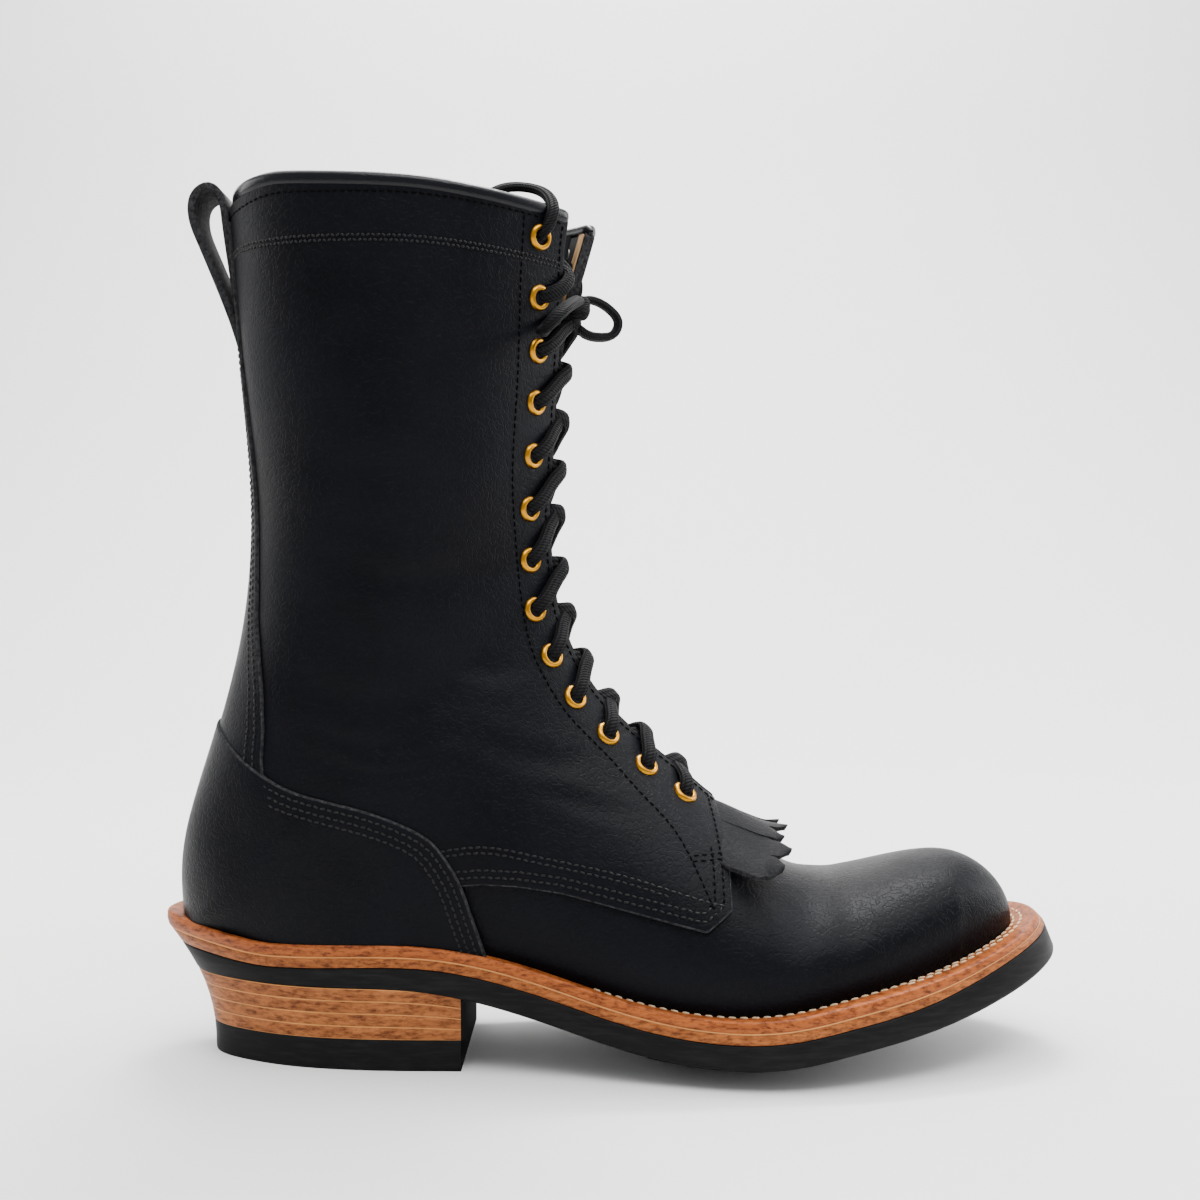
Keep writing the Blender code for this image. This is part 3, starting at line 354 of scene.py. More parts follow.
# Sections of the upper, each a plane from the ridge down to the feather line or the back seam.
# The crest is the power of the section above its widest place: the lower it is, the sharper the ridge.
FootSection = namedtuple("FootSection", "name ridge_x ridge_z base_angle half widest ridge_y crest")
FOOT_SECTIONS = [
    FootSection("toe_box", 116.0, 66.2, 146.0, 32.5, 0.40, 6.5, 2.25),
    FootSection("toe_joint", 97.0, 63.2, 135.2, 41.0, 0.36, 6.5, 2.25),
    FootSection("vamp", 74.0, 59.6, 123.3, 48.0, 0.31, 5.0, 2.1),
    FootSection("ball", 55.0, 66.0, 112.5, 49.5, 0.28, 3.0, 1.8),
    FootSection("throat", 36.4, 83.6, 101.5, 46.5, 0.27, 1.5, 1.5),
    FootSection("instep", 10.4, 107.4, 84.6, 40.0, 0.30, 0.5, 1.25),
    FootSection("waist", -9.3, 131.4, 61.8, 38.0, 0.35, 0.0, 1.18),
    FootSection("ankle_low", -16.7, 150.4, 38.8, 37.5, 0.40, 0.0, 1.15),
    FootSection("heel_seat", -19.0, 164.0, 0.0, 36.8, 0.43, 0.0, 1.15),
]
ShaftSection = namedtuple("ShaftSection", "name ridge_x ridge_z back_x back_z half widest crest")
SHAFT_SECTIONS = [
    ShaftSection("counter", -20.3, 180.0, -145.4, 66.0, 36.5, 0.45, 1.15),
    ShaftSection("counter_top", -20.3, 196.0, -136.8, 100.0, 36.5, 0.45, 1.15),
    ShaftSection("ankle", -19.2, 214.0, -126.2, 140.0, 37.5, 0.45, 1.15),
    ShaftSection("calf_low", -17.6, 238.0, -122.4, 185.0, 39.0, 0.45, 1.15),
    ShaftSection("calf", -12.0, 263.0, -126.3, 237.0, 41.0, 0.45, 1.15),
    ShaftSection("collar", -6.5, 283.0, -131.3, 294.5, 43.0, 0.45, 1.15),
]

# Lines drawn on the upper as seen from the side: places along and up
QUARTER_EDGE = [
    (-72.0, 61.0),
    (-50.7, 62.3),
    (-42.9, 63.0),
    (-31.0, 62.4),
    (-20.4, 60.9),
    (-17.0, 60.4),
    (5.4, 54.7),
    (29.8, 48.5),
    (37.6, 54.3),
    (37.4, 62.0),
    (37.2, 68.8),
    (36.3, 75.0),
    (35.9, 78.0),
    (35.0, 82.0),
    (34.2, 85.0),
    (33.0, 92.0),
]
QUARTER_ROW = [
    (-66.0, 71.5),
    (-54.9, 73.4),
    (-43.4, 74.6),
    (-26.9, 71.9),
    (5.7, 64.3),
    (31.0, 56.5),
    (36.0, 55.2),
]
COUNTER_EDGE = [
    (-165.0, 128.0),
    (-146.0, 121.0),
    (-133.2, 112.6),
    (-122.8, 103.3),
    (-115.3, 97.7),
    (-108.5, 93.6),
    (-94.6, 89.0),
    (-81.0, 85.6),
    (-67.9, 80.8),
    (-59.5, 76.0),
    (-54.4, 70.1),
    (-49.8, 62.1),
    (-46.8, 54.1),
    (-42.4, 41.3),
    (-40.0, 33.0),
]
REAR_FACING_ROW = [
    (-30.8, 290.0),
    (-31.0, 285.3),
    (-32.1, 268.2),
    (-34.4, 222.1),
    (-35.7, 194.8),
    (-34.8, 176.5),
    (-32.7, 154.9),
    (-28.9, 137.6),
    (-23.2, 125.2),
    (-14.3, 112.5),
    (-3.1, 101.2),
    (7.9, 89.3),
    (18.5, 78.4),
    (26.0, 66.0),
    (31.9, 53.5),
]
COLLAR_ROW = [
    (-140.0, 272.0),
    (-124.1, 272.2),
    (-91.7, 271.7),
    (-68.8, 271.4),
    (-27.6, 269.5),
    (-17.5, 269.0),
    (-4.0, 268.2),
]

# Half width of the back strap round from the seam, by height
StrapWidth = namedtuple("StrapWidth", "z half")
STRAP_WIDTHS = [
    StrapWidth(90.0, 44.0),
    StrapWidth(112.0, 40.0),
    StrapWidth(124.0, 36.0),
    StrapWidth(140.0, 29.0),
    StrapWidth(149.0, 25.0),
    StrapWidth(166.0, 21.0),
    StrapWidth(184.0, 18.5),
    StrapWidth(200.0, 16.5),
    StrapWidth(218.0, 13.5),
    StrapWidth(240.0, 11.8),
    StrapWidth(300.0, 11.0),
]

# Pull loop seen from the side: it leaves the back seam, turns over and comes down behind the strap
PULL_LOOP_HALF = 10.5
PULL_LOOP_HALF_THICK = 1.35
PULL_LOOP_EDGE = 0.6
PULL_LOOP_STEPS = 90
PULL_LOOP_ROUTE = [
    (-129.0, 256.0),
    (-130.4, 266.0),
    (-132.2, 278.0),
    (-133.4, 287.0),
    (-135.0, 293.6),
    (-139.0, 297.2),
    (-143.0, 295.4),
    (-144.9, 288.7),
    (-141.8, 278.4),
    (-137.4, 268.1),
    (-133.2, 257.8),
    (-129.4, 247.5),
    (-126.4, 237.0),
    (-124.2, 226.0),
]

# Folds of the leather seen from the side: depth and width of a soft trough, and its line
Fold = namedtuple("Fold", "depth width line")
FOLDS = [
    Fold(0.5, 6.0, ((-112, 134), (-92, 124), (-70, 121), (-52, 127))),
    Fold(0.35, 3.0, ((-106, 117), (-88, 109), (-68, 107), (-50, 112))),
    Fold(0.35, 2.8, ((-100, 105), (-82, 98), (-60, 99), (-44, 104))),
    Fold(0.35, 4.0, ((-66, 141), (-50, 133), (-36, 131), (-26, 135))),
    Fold(0.35, 4.0, ((-52, 112), (-34, 104), (-16, 100), (-4, 101))),
    Fold(0.25, 3.0, ((-28, 94), (-8, 86), (10, 82))),
    Fold(0.35, 5.0, ((-100, 172), (-80, 163), (-58, 162), (-40, 168))),
    Fold(0.5, 7.0, ((-108, 205), (-86, 197), (-62, 199))),
    Fold(-0.35, 9.0, ((-90, 150), (-66, 146), (-44, 150))),
    Fold(-0.7, 14.0, ((-96, 240), (-90, 200), (-92, 170))),
    Fold(0.6, 12.0, ((-62, 262), (-58, 220), (-60, 186))),
    Fold(0.6, 7.0, ((66, 62), (62, 50), (60, 38))),
    Fold(0.4, 5.0, ((80, 60), (77, 48), (76, 38))),
    Fold(0.5, 9.0, ((-132, 92), (-118, 74), (-112, 56))),
    Fold(0.4, 6.0, ((-96, 78), (-80, 66), (-72, 52))),
]

# One strand of lace from an eyelet to the next one up on the other facing: its way up between the
# two eyelets, its way across from its own eyelet at -1 to the other at 1, and its lift
StrandPoint = namedtuple("StrandPoint", "up across lift")
STRAND = [
    StrandPoint(0.00, -1.00, -2.5),
    StrandPoint(0.00, -0.97, 0.8),
    StrandPoint(0.05, -0.85, 2.9),
    StrandPoint(0.17, -0.60, 3.3),
    StrandPoint(0.32, -0.30, 2.4),
    StrandPoint(0.46, 0.00, 0.8),
    StrandPoint(0.60, 0.24, -1.4),
    StrandPoint(0.74, 0.46, -4.4),
    StrandPoint(0.90, 0.80, -5.0),
    StrandPoint(1.00, 1.00, -3.5),
]

# Last strand on either side, which goes up behind its own facing to the top eyelet: its way up,
# its way from the ridge in shares of an eyelet's, and its lift
LAST_STRAND = [
    StrandPoint(0.00, 1.00, -2.5),
    StrandPoint(0.01, 0.95, 0.8),
    StrandPoint(0.08, 0.78, 3.2),
    StrandPoint(0.22, 0.56, 3.4),
    StrandPoint(0.42, 0.42, 1.4),
    StrandPoint(0.60, 0.46, -2.6),
    StrandPoint(0.76, 0.66, -5.6),
    StrandPoint(0.92, 0.92, -5.2),
    StrandPoint(1.00, 1.00, -3.5),
]

# Routes of the bow, and of the lace's end from the top eyelet over the collar into the shaft
CordPoint = namedtuple("CordPoint", "x y z")
LOOP_FAR_ROUTE = [
    CordPoint(-12.4, 0.0, 257.8),
    CordPoint(-9.4, 2.0, 260.2),
    CordPoint(-5.0, 4.0, 259.8),
    CordPoint(-0.8, 6.0, 257.4),
    CordPoint(2.0, 7.4, 253.4),
    CordPoint(0.8, 7.4, 249.6),
    CordPoint(-4.2, 5.0, 247.6),
    CordPoint(-9.2, 2.6, 248.2),
    CordPoint(-13.0, 0.0, 250.8),
]
LOOP_NEAR_ROUTE = [
    CordPoint(-11.6, -12.0, 257.5),
    CordPoint(-12.9, -22.0, 254.8),
    CordPoint(-14.8, -30.6, 251.9),
    CordPoint(-17.5, -36.4, 248.5),
    CordPoint(-20.5, -37.6, 245.2),
    CordPoint(-22.7, -33.4, 243.5),
    CordPoint(-23.6, -26.4, 244.0),
    CordPoint(-22.6, -19.4, 246.8),
    CordPoint(-19.8, -13.4, 251.3),
    CordPoint(-16.1, -8.4, 255.6),
    CordPoint(-13.8, -5.4, 257.8),
    CordPoint(-11.7, -2.6, 259.4),
]
KNOT_CENTRE = CordPoint(-11.6, -3.0, 256.4)
KNOT_WRAP_HALF = CordPoint(2.56, 2.75, 2.8)
LACE_END_ROUTE = [
    CordPoint(-24.6, -18.0, 276.2),
    CordPoint(-23.6, -22.4, 277.4),
    CordPoint(-21.5, -23.6, 280.6),
    CordPoint(-20.2, -22.6, 285.2),
    CordPoint(-20.9, -19.6, 289.4),
    CordPoint(-23.5, -15.6, 293.2),
    CordPoint(-27.7, -12.4, 295.6),
    CordPoint(-33.2, -11.5, 296.4),
    CordPoint(-38.6, -12.0, 295.4),
    CordPoint(-43.4, -12.2, 292.4),
    CordPoint(-47.2, -11.8, 288.0),
    CordPoint(-49.6, -11.0, 280.0),
]


# Settings that a user would change


def length_setting(name, description, millimetres):
    """Length in the scene's own unit, from a default in millimetres."""
    default = millimetres * MM
    kind = {"precision": 4, "subtype": "DISTANCE", "unit": "LENGTH"}
    return FloatProperty(name=name, description=description, default=default, min=0.0, **kind)


def colour_setting(name, description, default):
    """Linear colour of a finish."""
    kind = {"size": 3, "min": 0.0, "max": 1.0, "precision": 4, "subtype": "COLOR"}
    return FloatVectorProperty(name=name, description=description, default=default, **kind)


def share_setting(name, description, default):
    """Share between nothing and all."""
    kind = {"min": 0.0, "max": 1.0, "subtype": "FACTOR"}
    return FloatProperty(name=name, description=description, default=default, **kind)


def power_setting(name, description, watts):
    """Power of a light."""
    return FloatProperty(name=name, description=description, default=watts, min=0.0, unit="POWER")


def count_setting(name, description, default):
    """Number of like things."""
    return IntProperty(name=name, description=description, default=default, min=1)


class SoleSettings(bpy.types.PropertyGroup):
    """Outsole, midsole and welt."""

    lug_bars: count_setting("Lug bars", "Bars across the outsole's underside", 6)
    lug_depth: length_setting("Lug depth", "Depth of the bars under the ball of the foot", 4.2)
    stitch_pitch: length_setting("Stitch pitch", "Way from one welt stitch to the next", 3.7)
    stitch_length: length_setting("Stitch length", "Length of a welt stitch", 2.7)
    stitch_radius: length_setting("Stitch radius", "Half the thickness of the welt thread", 0.42)
    rubber: colour_setting("Rubber", "Outsole and top lift", (0.0050, 0.0050, 0.0052))
    midsole: colour_setting("Midsole", "Edge of the leather midsole", (0.32, 0.100, 0.022))
    welt: colour_setting("Welt", "Welt and rand", (0.325, 0.087, 0.018))
    glue: colour_setting("Glue", "Lines between layers of leather", (0.52, 0.215, 0.055))
    thread: colour_setting("Welt thread", "Waxed thread of the welt", (0.62, 0.46, 0.28))


class HeelSettings(bpy.types.PropertyGroup):
    """Stacked heel."""

    lifts: count_setting("Leather lifts", "Layers of leather in the heel", 4)
    top_lift: length_setting("Top lift", "Height of the rubber that touches the floor", 10.3)
    leather: colour_setting("Lifts", "Edges of the leather lifts", (0.35, 0.120, 0.033))
    # Breast: near-black and almost unreflective, painted shade under the arch on the heel's front faces
    breast: colour_setting("Breast", "Front of the heel, dark as painted shade", (0.0015, 0.0015, 0.0016))


class UpperSettings(bpy.types.PropertyGroup):
    """Leathers of the upper."""

    wall: length_setting("Wall", "Thickness of the vamp with its lining", 2.4)
    quarter: length_setting("Quarters", "Height of the quarters over the vamp", 1.7)
    strap: length_setting("Back strap", "Height of the back strap over the vamp", 2.9)
    counter: length_setting("Counter", "Height of the heel counter over the vamp", 3.0)
    binding: length_setting("Binding", "Radius of the rolled edge at the collar", 2.6)
    grain: length_setting("Grain", "Depth of the leather's grain", 0.07)
    wrinkle: length_setting("Wrinkles", "Depth of the leather's fine wrinkles", 0.17)
    roughness: share_setting("Roughness", "Roughness of the waxed leather", 0.42)
    leather: colour_setting("Leather", "Black waxed leather", (0.0024, 0.0027, 0.0042))
    lining: colour_setting("Lining", "Inside of the upper", (0.012, 0.011, 0.011))
    stay: colour_setting("Stays", "Strips inside the facings", (0.50, 0.31, 0.15))
    insole: colour_setting("Insole", "Leather under the foot", (0.46, 0.31, 0.19))


class SeamSettings(bpy.types.PropertyGroup):
    """Stitching of the upper."""

    pitch: length_setting("Pitch", "Way from one stitch to the next", 2.3)
    length: length_setting("Length", "Length of a stitch", 1.75)
    radius: length_setting("Radius", "Half the thickness of the thread", 0.35)
    thread: colour_setting("Thread", "Black thread of the facings", (0.0008, 0.0008, 0.0009))
    # Paler grey thread for some rows: a painted highlight that stands for the glints of black thread
    glint_thread: colour_setting("Glint-grey thread", "Thread painted grey for its glints", (0.0075, 0.0075, 0.008))


class KiltieSettings(bpy.types.PropertyGroup):
    """Fringed flap under the lowest eyelets."""

    teeth: count_setting("Teeth", "Strips of the fringe", 7)
    thickness: length_setting("Thickness", "Thickness of the flap", 1.8)
    length: length_setting("Length", "Way that the flap reaches down the vamp", 24.0)
    tip_lift: length_setting("Tip lift", "How far the fringe stands off the vamp", 9.0)


class LaceSettings(bpy.types.PropertyGroup):
    """Eyelets, lace and bow."""

    width: length_setting("Width", "Width of the lace between the eyelets", 5.4)
    thickness: length_setting("Thickness", "Thickness of the lace between the eyelets", 3.1)
    bow_width: length_setting("Bow width", "Width of the lace in the bow and its end", 4.4)
    bow_thickness: length_setting("Bow thickness", "Thickness of the lace in the bow and its end", 3.0)
    fabric: colour_setting("Lace", "Woven lace", (0.0022, 0.0022, 0.0026))
    brass: colour_setting("Brass", "Eyelets", (0.38, 0.17, 0.009))
    washer: colour_setting("Washers", "Backs of the eyelets", (0.62, 0.60, 0.56))


class StageSettings(bpy.types.PropertyGroup):
    """Camera, paper and lights."""

    lens: FloatProperty(name="Lens", description="Focal length", default=45.39, min=1.0, unit="CAMERA")
    paper: colour_setting("Paper", "Floor and backdrop", (0.72, 0.715, 0.71))
    top: power_setting("Top light", "Large soft light over the boot", 70.0)
    key: power_setting("Key light", "Smaller soft light over the toe", 8.0)
    front: power_setting("Front light", "Soft light over the camera", 26.0)
    toe: power_setting("Toe light", "Soft light beyond the toe", 26.0)
    heel: power_setting("Heel light", "Soft light behind the heel", 12.0)
    backdrop: power_setting("Backdrop light", "Light on the paper behind", 62.0)
    sky: FloatProperty(name="Sky", description="Strength of the pale light all round", default=0.92, min=0.0)


class BootSettings(bpy.types.PropertyGroup):
    """All the boot's settings, group by group."""

    sole: PointerProperty(type=SoleSettings, name="Sole", description="Outsole, midsole and welt")
    heel: PointerProperty(type=HeelSettings, name="Heel", description="Stacked heel")
    upper: PointerProperty(type=UpperSettings, name="Upper", description="Leathers of the upper")
    seams: PointerProperty(type=SeamSettings, name="Seams", description="Stitching of the upper")
    kiltie: PointerProperty(type=KiltieSettings, name="Kiltie", description="Fringed flap")
    lace: PointerProperty(type=LaceSettings, name="Lace", description="Eyelets, lace and bow")
    stage: PointerProperty(type=StageSettings, name="Stage", description="Camera, paper and lights")


def boot():
    """Settings of the boot in the open scene."""
    return bpy.context.scene.kiltie_boot


def mm(metres):
    """Length setting in millimetres."""
    return metres / MM


# Curves and small sums


def column(table, name):
    """One named column of a table of rows."""
    return [getattr(row, name) for row in table]


class Spline:
    """Natural cubic spline through knots, with a set slope at its start where one is given."""

    def __init__(self, knots, values, start_slope=None):
        self.x = np.asarray(knots, float)
        self.y = np.asarray(values, float)
        self.h = np.diff(self.x)
        count = len(self.x)
        rows = np.eye(count)
        right = np.zeros(count)
        rise = np.diff(self.y) / self.h
        for i in range(1, count - 1):
            rows[i, i - 1 : i + 2] = self.h[i - 1], 2 * (self.h[i - 1] + self.h[i]), self.h[i]
            right[i] = 6 * (rise[i] - rise[i - 1])
        if start_slope is not None:
            rows[0, :2] = 2 * self.h[0], self.h[0]
            right[0] = 6 * (rise[0] - start_slope)
        self.m = np.linalg.solve(rows, right)

    def __call__(self, t):
        t = np.asarray(t, float)
        i = np.clip(np.searchsorted(self.x, t) - 1, 0, len(self.h) - 1)
        h = self.h[i]
        back = self.x[i + 1] - t
        ahead = t - self.x[i]
        bend = (self.m[i] * back**3 + self.m[i + 1] * ahead**3) / (6 * h)
        start = (self.y[i] / h - self.m[i] * h / 6) * back
        end = (self.y[i + 1] / h - self.m[i + 1] * h / 6) * ahead
        return bend + start + end


def smoothstep(start, full, value):
    """0 before start, 1 past full, and a soft rise between them."""
    t = np.clip((value - start) / (full - start), 0.0, 1.0)
    return t * t * (3 - 2 * t)


def blend(a, b, t):
    """Straight mix of two values."""
    return a + (b - a) * t


def unit(vectors):
    """Vectors of length one along the last axis."""
    size = np.linalg.norm(vectors, axis=-1, keepdims=True)
    return vectors / np.maximum(size, 1e-9)


def run_length(points):
    """Way along a row of points, from zero."""
    return np.concatenate([[0.0], np.cumsum(np.linalg.norm(np.diff(points, axis=0), axis=1))])


def smooth_route(points, count):
    """Evenly stepped points on a smooth curve through a route's own points, with any values they carry."""
    points = np.asarray(points, float)
    run = run_length(points[:, :3])
    steps = np.linspace(0.0, run[-1], count)
    return np.stack([Spline(run, points[:, i])(steps) for i in range(points.shape[1])], axis=1)


ANGLES = column(SOLE_STATIONS, "angle")
SOLE_HALF = Spline(ANGLES, column(SOLE_STATIONS, "sole_half"))
FEATHER_HALF = Spline(ANGLES, column(SOLE_STATIONS, "feather_half"))
SWING = Spline(ANGLES, column(SOLE_STATIONS, "swing"))
UNDERSIDE = Spline(column(SOLE_PROFILE, "x"), column(SOLE_PROFILE, "underside"))
CROWN = Spline(column(SOLE_PROFILE, "x"), column(SOLE_PROFILE, "crown"))


def sole_outline(angle, side):
    """Plan of the sole's widest line at station angles."""
    angle = np.asarray(angle, float)
    x = -SOLE_LENGTH / 2 * np.cos(np.radians(angle))
    return np.stack([x, SWING(angle) + side * SOLE_HALF(angle)], axis=-1)


def outline_normal(angle, side):
    """Outward direction of the sole's outline in plan."""
    angle = np.asarray(angle, float)
    after = sole_outline(np.minimum(angle + 0.5, 180.0), side)
    step = after - sole_outline(np.maximum(angle - 0.5, 0.0), side)
    normal = np.stack([-step[..., 1] * side, step[..., 0] * side], axis=-1)
    normal = np.where((angle <= 0.0)[..., None], (-1.0, 0.0), normal)
    normal = np.where((angle >= 180.0)[..., None], (1.0, 0.0), normal)
    return unit(normal)


def station(x):
    """Station angle of places along the sole."""
    return np.degrees(np.arccos(np.clip(-2 * np.asarray(x, float) / SOLE_LENGTH, -1.0, 1.0)))


def ground(x, y):
    """Height of the outsole's smooth underside: level along, and higher towards its edges."""
    angle = station(x)
    across = (y - SWING(angle)) / np.maximum(SOLE_HALF(angle), 1.0)
    return UNDERSIDE(x) + CROWN(x) * np.minimum(across * across, 1.0)


def heel_taper(plan, z):
    """Plan points of the heel drawn in from the rand at a height, most of all at the back."""
    depth = np.clip(1 - z / HEEL_RAND_HEIGHT, 0.0, 1.0)
    flare = 1 - (1 - depth) ** HEEL_FLARE_CURVE
    back = np.clip((HEEL_BREAST - plan[..., 0]) / (HEEL_BREAST + SOLE_LENGTH / 2), 0.0, 1.0)
    x = plan[..., 0] + HEEL_FLARE_BACK * flare * back
    return np.stack([x, plan[..., 1] * (1 - HEEL_FLARE_SIDE * flare)], axis=-1)


def sole_rim(angle, side, height, inset=0.0):
    """Points of the sole stack's edge, at a height above the outsole's underside."""
    plan = sole_outline(angle, side)
    normal = outline_normal(angle, side)
    heel = smoothstep(HEEL_FLARE_START, HEEL_FLARE_FULL, plan[..., 0])
    toe = blend(WELT_SET_BACK_SIDE, WELT_SET_BACK_TOE, np.maximum(normal[..., 0], 0.0) ** 2)
    level = ground(plan[..., 0], plan[..., 1]) + height + layer_shift(plan[..., 0], height)
    front = plan - normal * (toe * height / WELT_TOP)[..., None]
    plan = blend(front, heel_taper(plan, level), heel[..., None]) - normal * inset
    return layer_top(plan, height)


def layer_top(plan, height):
    """Plan points set on a layer of the sole stack."""
    spots = with_height(plan, height)
    spots[..., 2] += layer_shift(plan[..., 0], height)
    return spots


def layer_shift(x, height):
    """Rise of a layer over its height at the ball: a lip behind the heel, and layers that thin or thicken."""
    levels = (0.0, OUTSOLE_TOP, WELT_TOP)
    lip = HEEL_LIP * smoothstep(*HEEL_LIP_SPAN, x) * np.interp(height, levels, HEEL_LIP_SHARES)
    thin = HEEL_THIN * smoothstep(*HEEL_THIN_SPAN, x) * np.interp(height, levels, HEEL_THIN_SHARES)
    thick = TOE_THICK * smoothstep(*TOE_THICK_SPAN, x) * np.interp(height, levels, TOE_THICK_SHARES)
    return lip - thin + thick


def with_height(plan, height):
    """Plan points set at a height over the ground line."""
    z = ground(plan[..., 0], plan[..., 1]) + height
    return np.concatenate([plan, z[..., None]], axis=-1)


def feather(angle, side, inset=0.0):
    """Plan of the upper's lower edge, or of a line inside it."""
    angle = np.asarray(angle, float)
    x = FEATHER_CENTRE - (FEATHER_LENGTH / 2 - inset) * np.cos(np.radians(angle))
    half = FEATHER_HALF(angle) - inset * np.sin(np.radians(np.clip(angle, 0, 180))) ** 0.5
    return np.stack([x, SWING(angle) + side * np.maximum(half, 0.0)], axis=-1)


def base_point(angle, side):
    """Point of the upper's lower edge, sunk a little into the welt."""
    return with_height(feather(angle, side), WELT_TOP - UPPER_SINK)


def section_knots():
    """Running length of each section, as the mean of the way along its ridge and along its base."""
    ridge = [(row.ridge_x, row.ridge_z) for row in FOOT_SECTIONS + SHAFT_SECTIONS]
    base = [base_point(row.base_angle, LATERAL)[[0, 2]] for row in FOOT_SECTIONS]
    base += [np.array([row.back_x, row.back_z]) for row in SHAFT_SECTIONS]
    return (run_length(np.array(ridge)) + run_length(np.array(base))) / 2


KNOTS = section_knots()
ALL_SECTIONS = FOOT_SECTIONS + SHAFT_SECTIONS
SECTION_AT = {row.name: k for row, k in zip(ALL_SECTIONS, KNOTS)}
FOOT_KNOTS = KNOTS[: len(FOOT_SECTIONS)]
BACK_KNOTS = KNOTS[len(FOOT_SECTIONS) - 1 :]
HEEL_AT = SECTION_AT["heel_seat"]
COLLAR_AT = SECTION_AT["collar"]
THROAT_AT = SECTION_AT["throat"]
TIP = base_point(180, LATERAL)
SEAT = base_point(0, LATERAL)
RIDGE_X = Spline(KNOTS, column(ALL_SECTIONS, "ridge_x"), start_slope=-1.0)
RIDGE_Z = Spline(KNOTS, column(ALL_SECTIONS, "ridge_z"), start_slope=0.0)
HALF = Spline(KNOTS, column(ALL_SECTIONS, "half"))
WIDEST = Spline(KNOTS, column(ALL_SECTIONS, "widest"))
CREST = Spline(KNOTS, column(ALL_SECTIONS, "crest"))
RIDGE_Y = Spline(FOOT_KNOTS, column(FOOT_SECTIONS, "ridge_y"))
BASE_ANGLE = Spline(FOOT_KNOTS, column(FOOT_SECTIONS, "base_angle"))
BACK_X = Spline(BACK_KNOTS, [SEAT[0]] + column(SHAFT_SECTIONS, "back_x"))
BACK_Z = Spline(BACK_KNOTS, [SEAT[2]] + column(SHAFT_SECTIONS, "back_z"))


def toe_section(k, side):
    """Ridge, base, half width and widest share of an upright section through the toe's dome."""
    turn = -k * math.pi / 2
    first = FOOT_SECTIONS[0]
    x = first.ridge_x + (TIP[0] - first.ridge_x) * math.sin(turn)
    angle = np.degrees(np.arccos(np.clip((FEATHER_CENTRE - x) / (FEATHER_LENGTH / 2), -1.0, 1.0)))
    base = base_point(angle, side)
    ridge = np.array([x, first.ridge_y, blend(TIP[2], first.ridge_z, math.cos(turn))])
    half = first.half * FEATHER_HALF(angle) / FEATHER_HALF(first.base_angle)
    return ridge, base, half, first.widest, first.ridge_y


def section(k, side):
    """Ridge, base, half width, widest share and middle of the section at a running length."""
    if k < 0:
        return toe_section(k, side)
    ridge_y = RIDGE_Y(k) if k < HEEL_AT else 0.0
    ridge = np.array([RIDGE_X(k), ridge_y, RIDGE_Z(k)])
    if k >= HEEL_AT:
        return ridge, np.array([BACK_X(k), 0.0, BACK_Z(k)]), HALF(k), WIDEST(k), 0.0
    angle = max(float(BASE_ANGLE(k)), 0.0)
    return ridge, base_point(angle, side), HALF(k), WIDEST(k), SWING(angle)


def section_line(k, side):
    """Points from the ridge round one side to the base, and their running lengths."""
    ridge, base, half, widest, middle = section(k, side)
    foot = min(abs(base[1] - middle) / max(half, 1e-6), 0.999)
    power = 2 / SECTION_POWER
    crest = 2 / CREST(max(k, 0.0))
    reach = widest / (1 - foot**SECTION_POWER) ** (1 / SECTION_POWER)
    low_turn = math.asin(min((widest / reach) ** (SECTION_POWER / 2), 1.0))
    high = np.linspace(math.pi / 2, 0.0, SECTION_HIGH_STEPS)
    low = np.linspace(0.0, low_turn, SECTION_LOW_STEPS)[1:]
    rises = [widest + (1 - widest) * np.sin(high) ** (2 / CROWN_POWER), widest - reach * np.sin(low) ** power]
    widths = [np.maximum(np.cos(high), 0.0) ** crest, np.maximum(np.cos(low), 0.0) ** power]
    rise = np.concatenate(rises)[:, None]
    line = np.array([base[0], middle, base[2]]) * (1 - rise) + ridge * rise
    line[:, 1] += side * half * np.concatenate(widths)
    line[-1] = base
    return line, run_length(line)


def throat_half(k, side):
    """Way from the ridge to the facing's edge, which spreads towards the collar."""
    top = np.where(np.asarray(side) < 0, THROAT_TOP_LATERAL, THROAT_TOP_MEDIAL)
    return blend(THROAT_HALF, top, smoothstep(COLLAR_AT - THROAT_SPREAD, COLLAR_AT, k))


def collar_drop(x):
    """How far the collar falls towards the back."""
    fall = COLLAR_FALL * smoothstep(*COLLAR_FALL_SPAN, x)
    return fall + COLLAR_FALL_BACK * smoothstep(*COLLAR_FALL_BACK_SPAN, x)


def eyelet_arc(k, side):
    """Way from the ridge to an eyelet's middle."""
    return throat_half(k, side) + EYELET_INSET


def eyelet_sections():
    """Sections of the eyelets from the lowest to the highest."""
    ks = np.linspace(THROAT_AT, COLLAR_AT, 400)
    run = run_length(np.stack([RIDGE_X(ks), RIDGE_Z(ks)], axis=1))
    pitches = [EYELET_LOW_PITCH] * (EYELETS_LOW - 1) + [EYELET_PITCH] * (EYELETS - EYELETS_LOW)
    return np.interp(EYELET_FIRST + np.concatenate([[0.0], np.cumsum(pitches)]), run, ks)


# Surface of the upper


def side_line(table, steps=240):
    """Smooth side-view line through a table's points."""
    return smooth_route(table, steps)


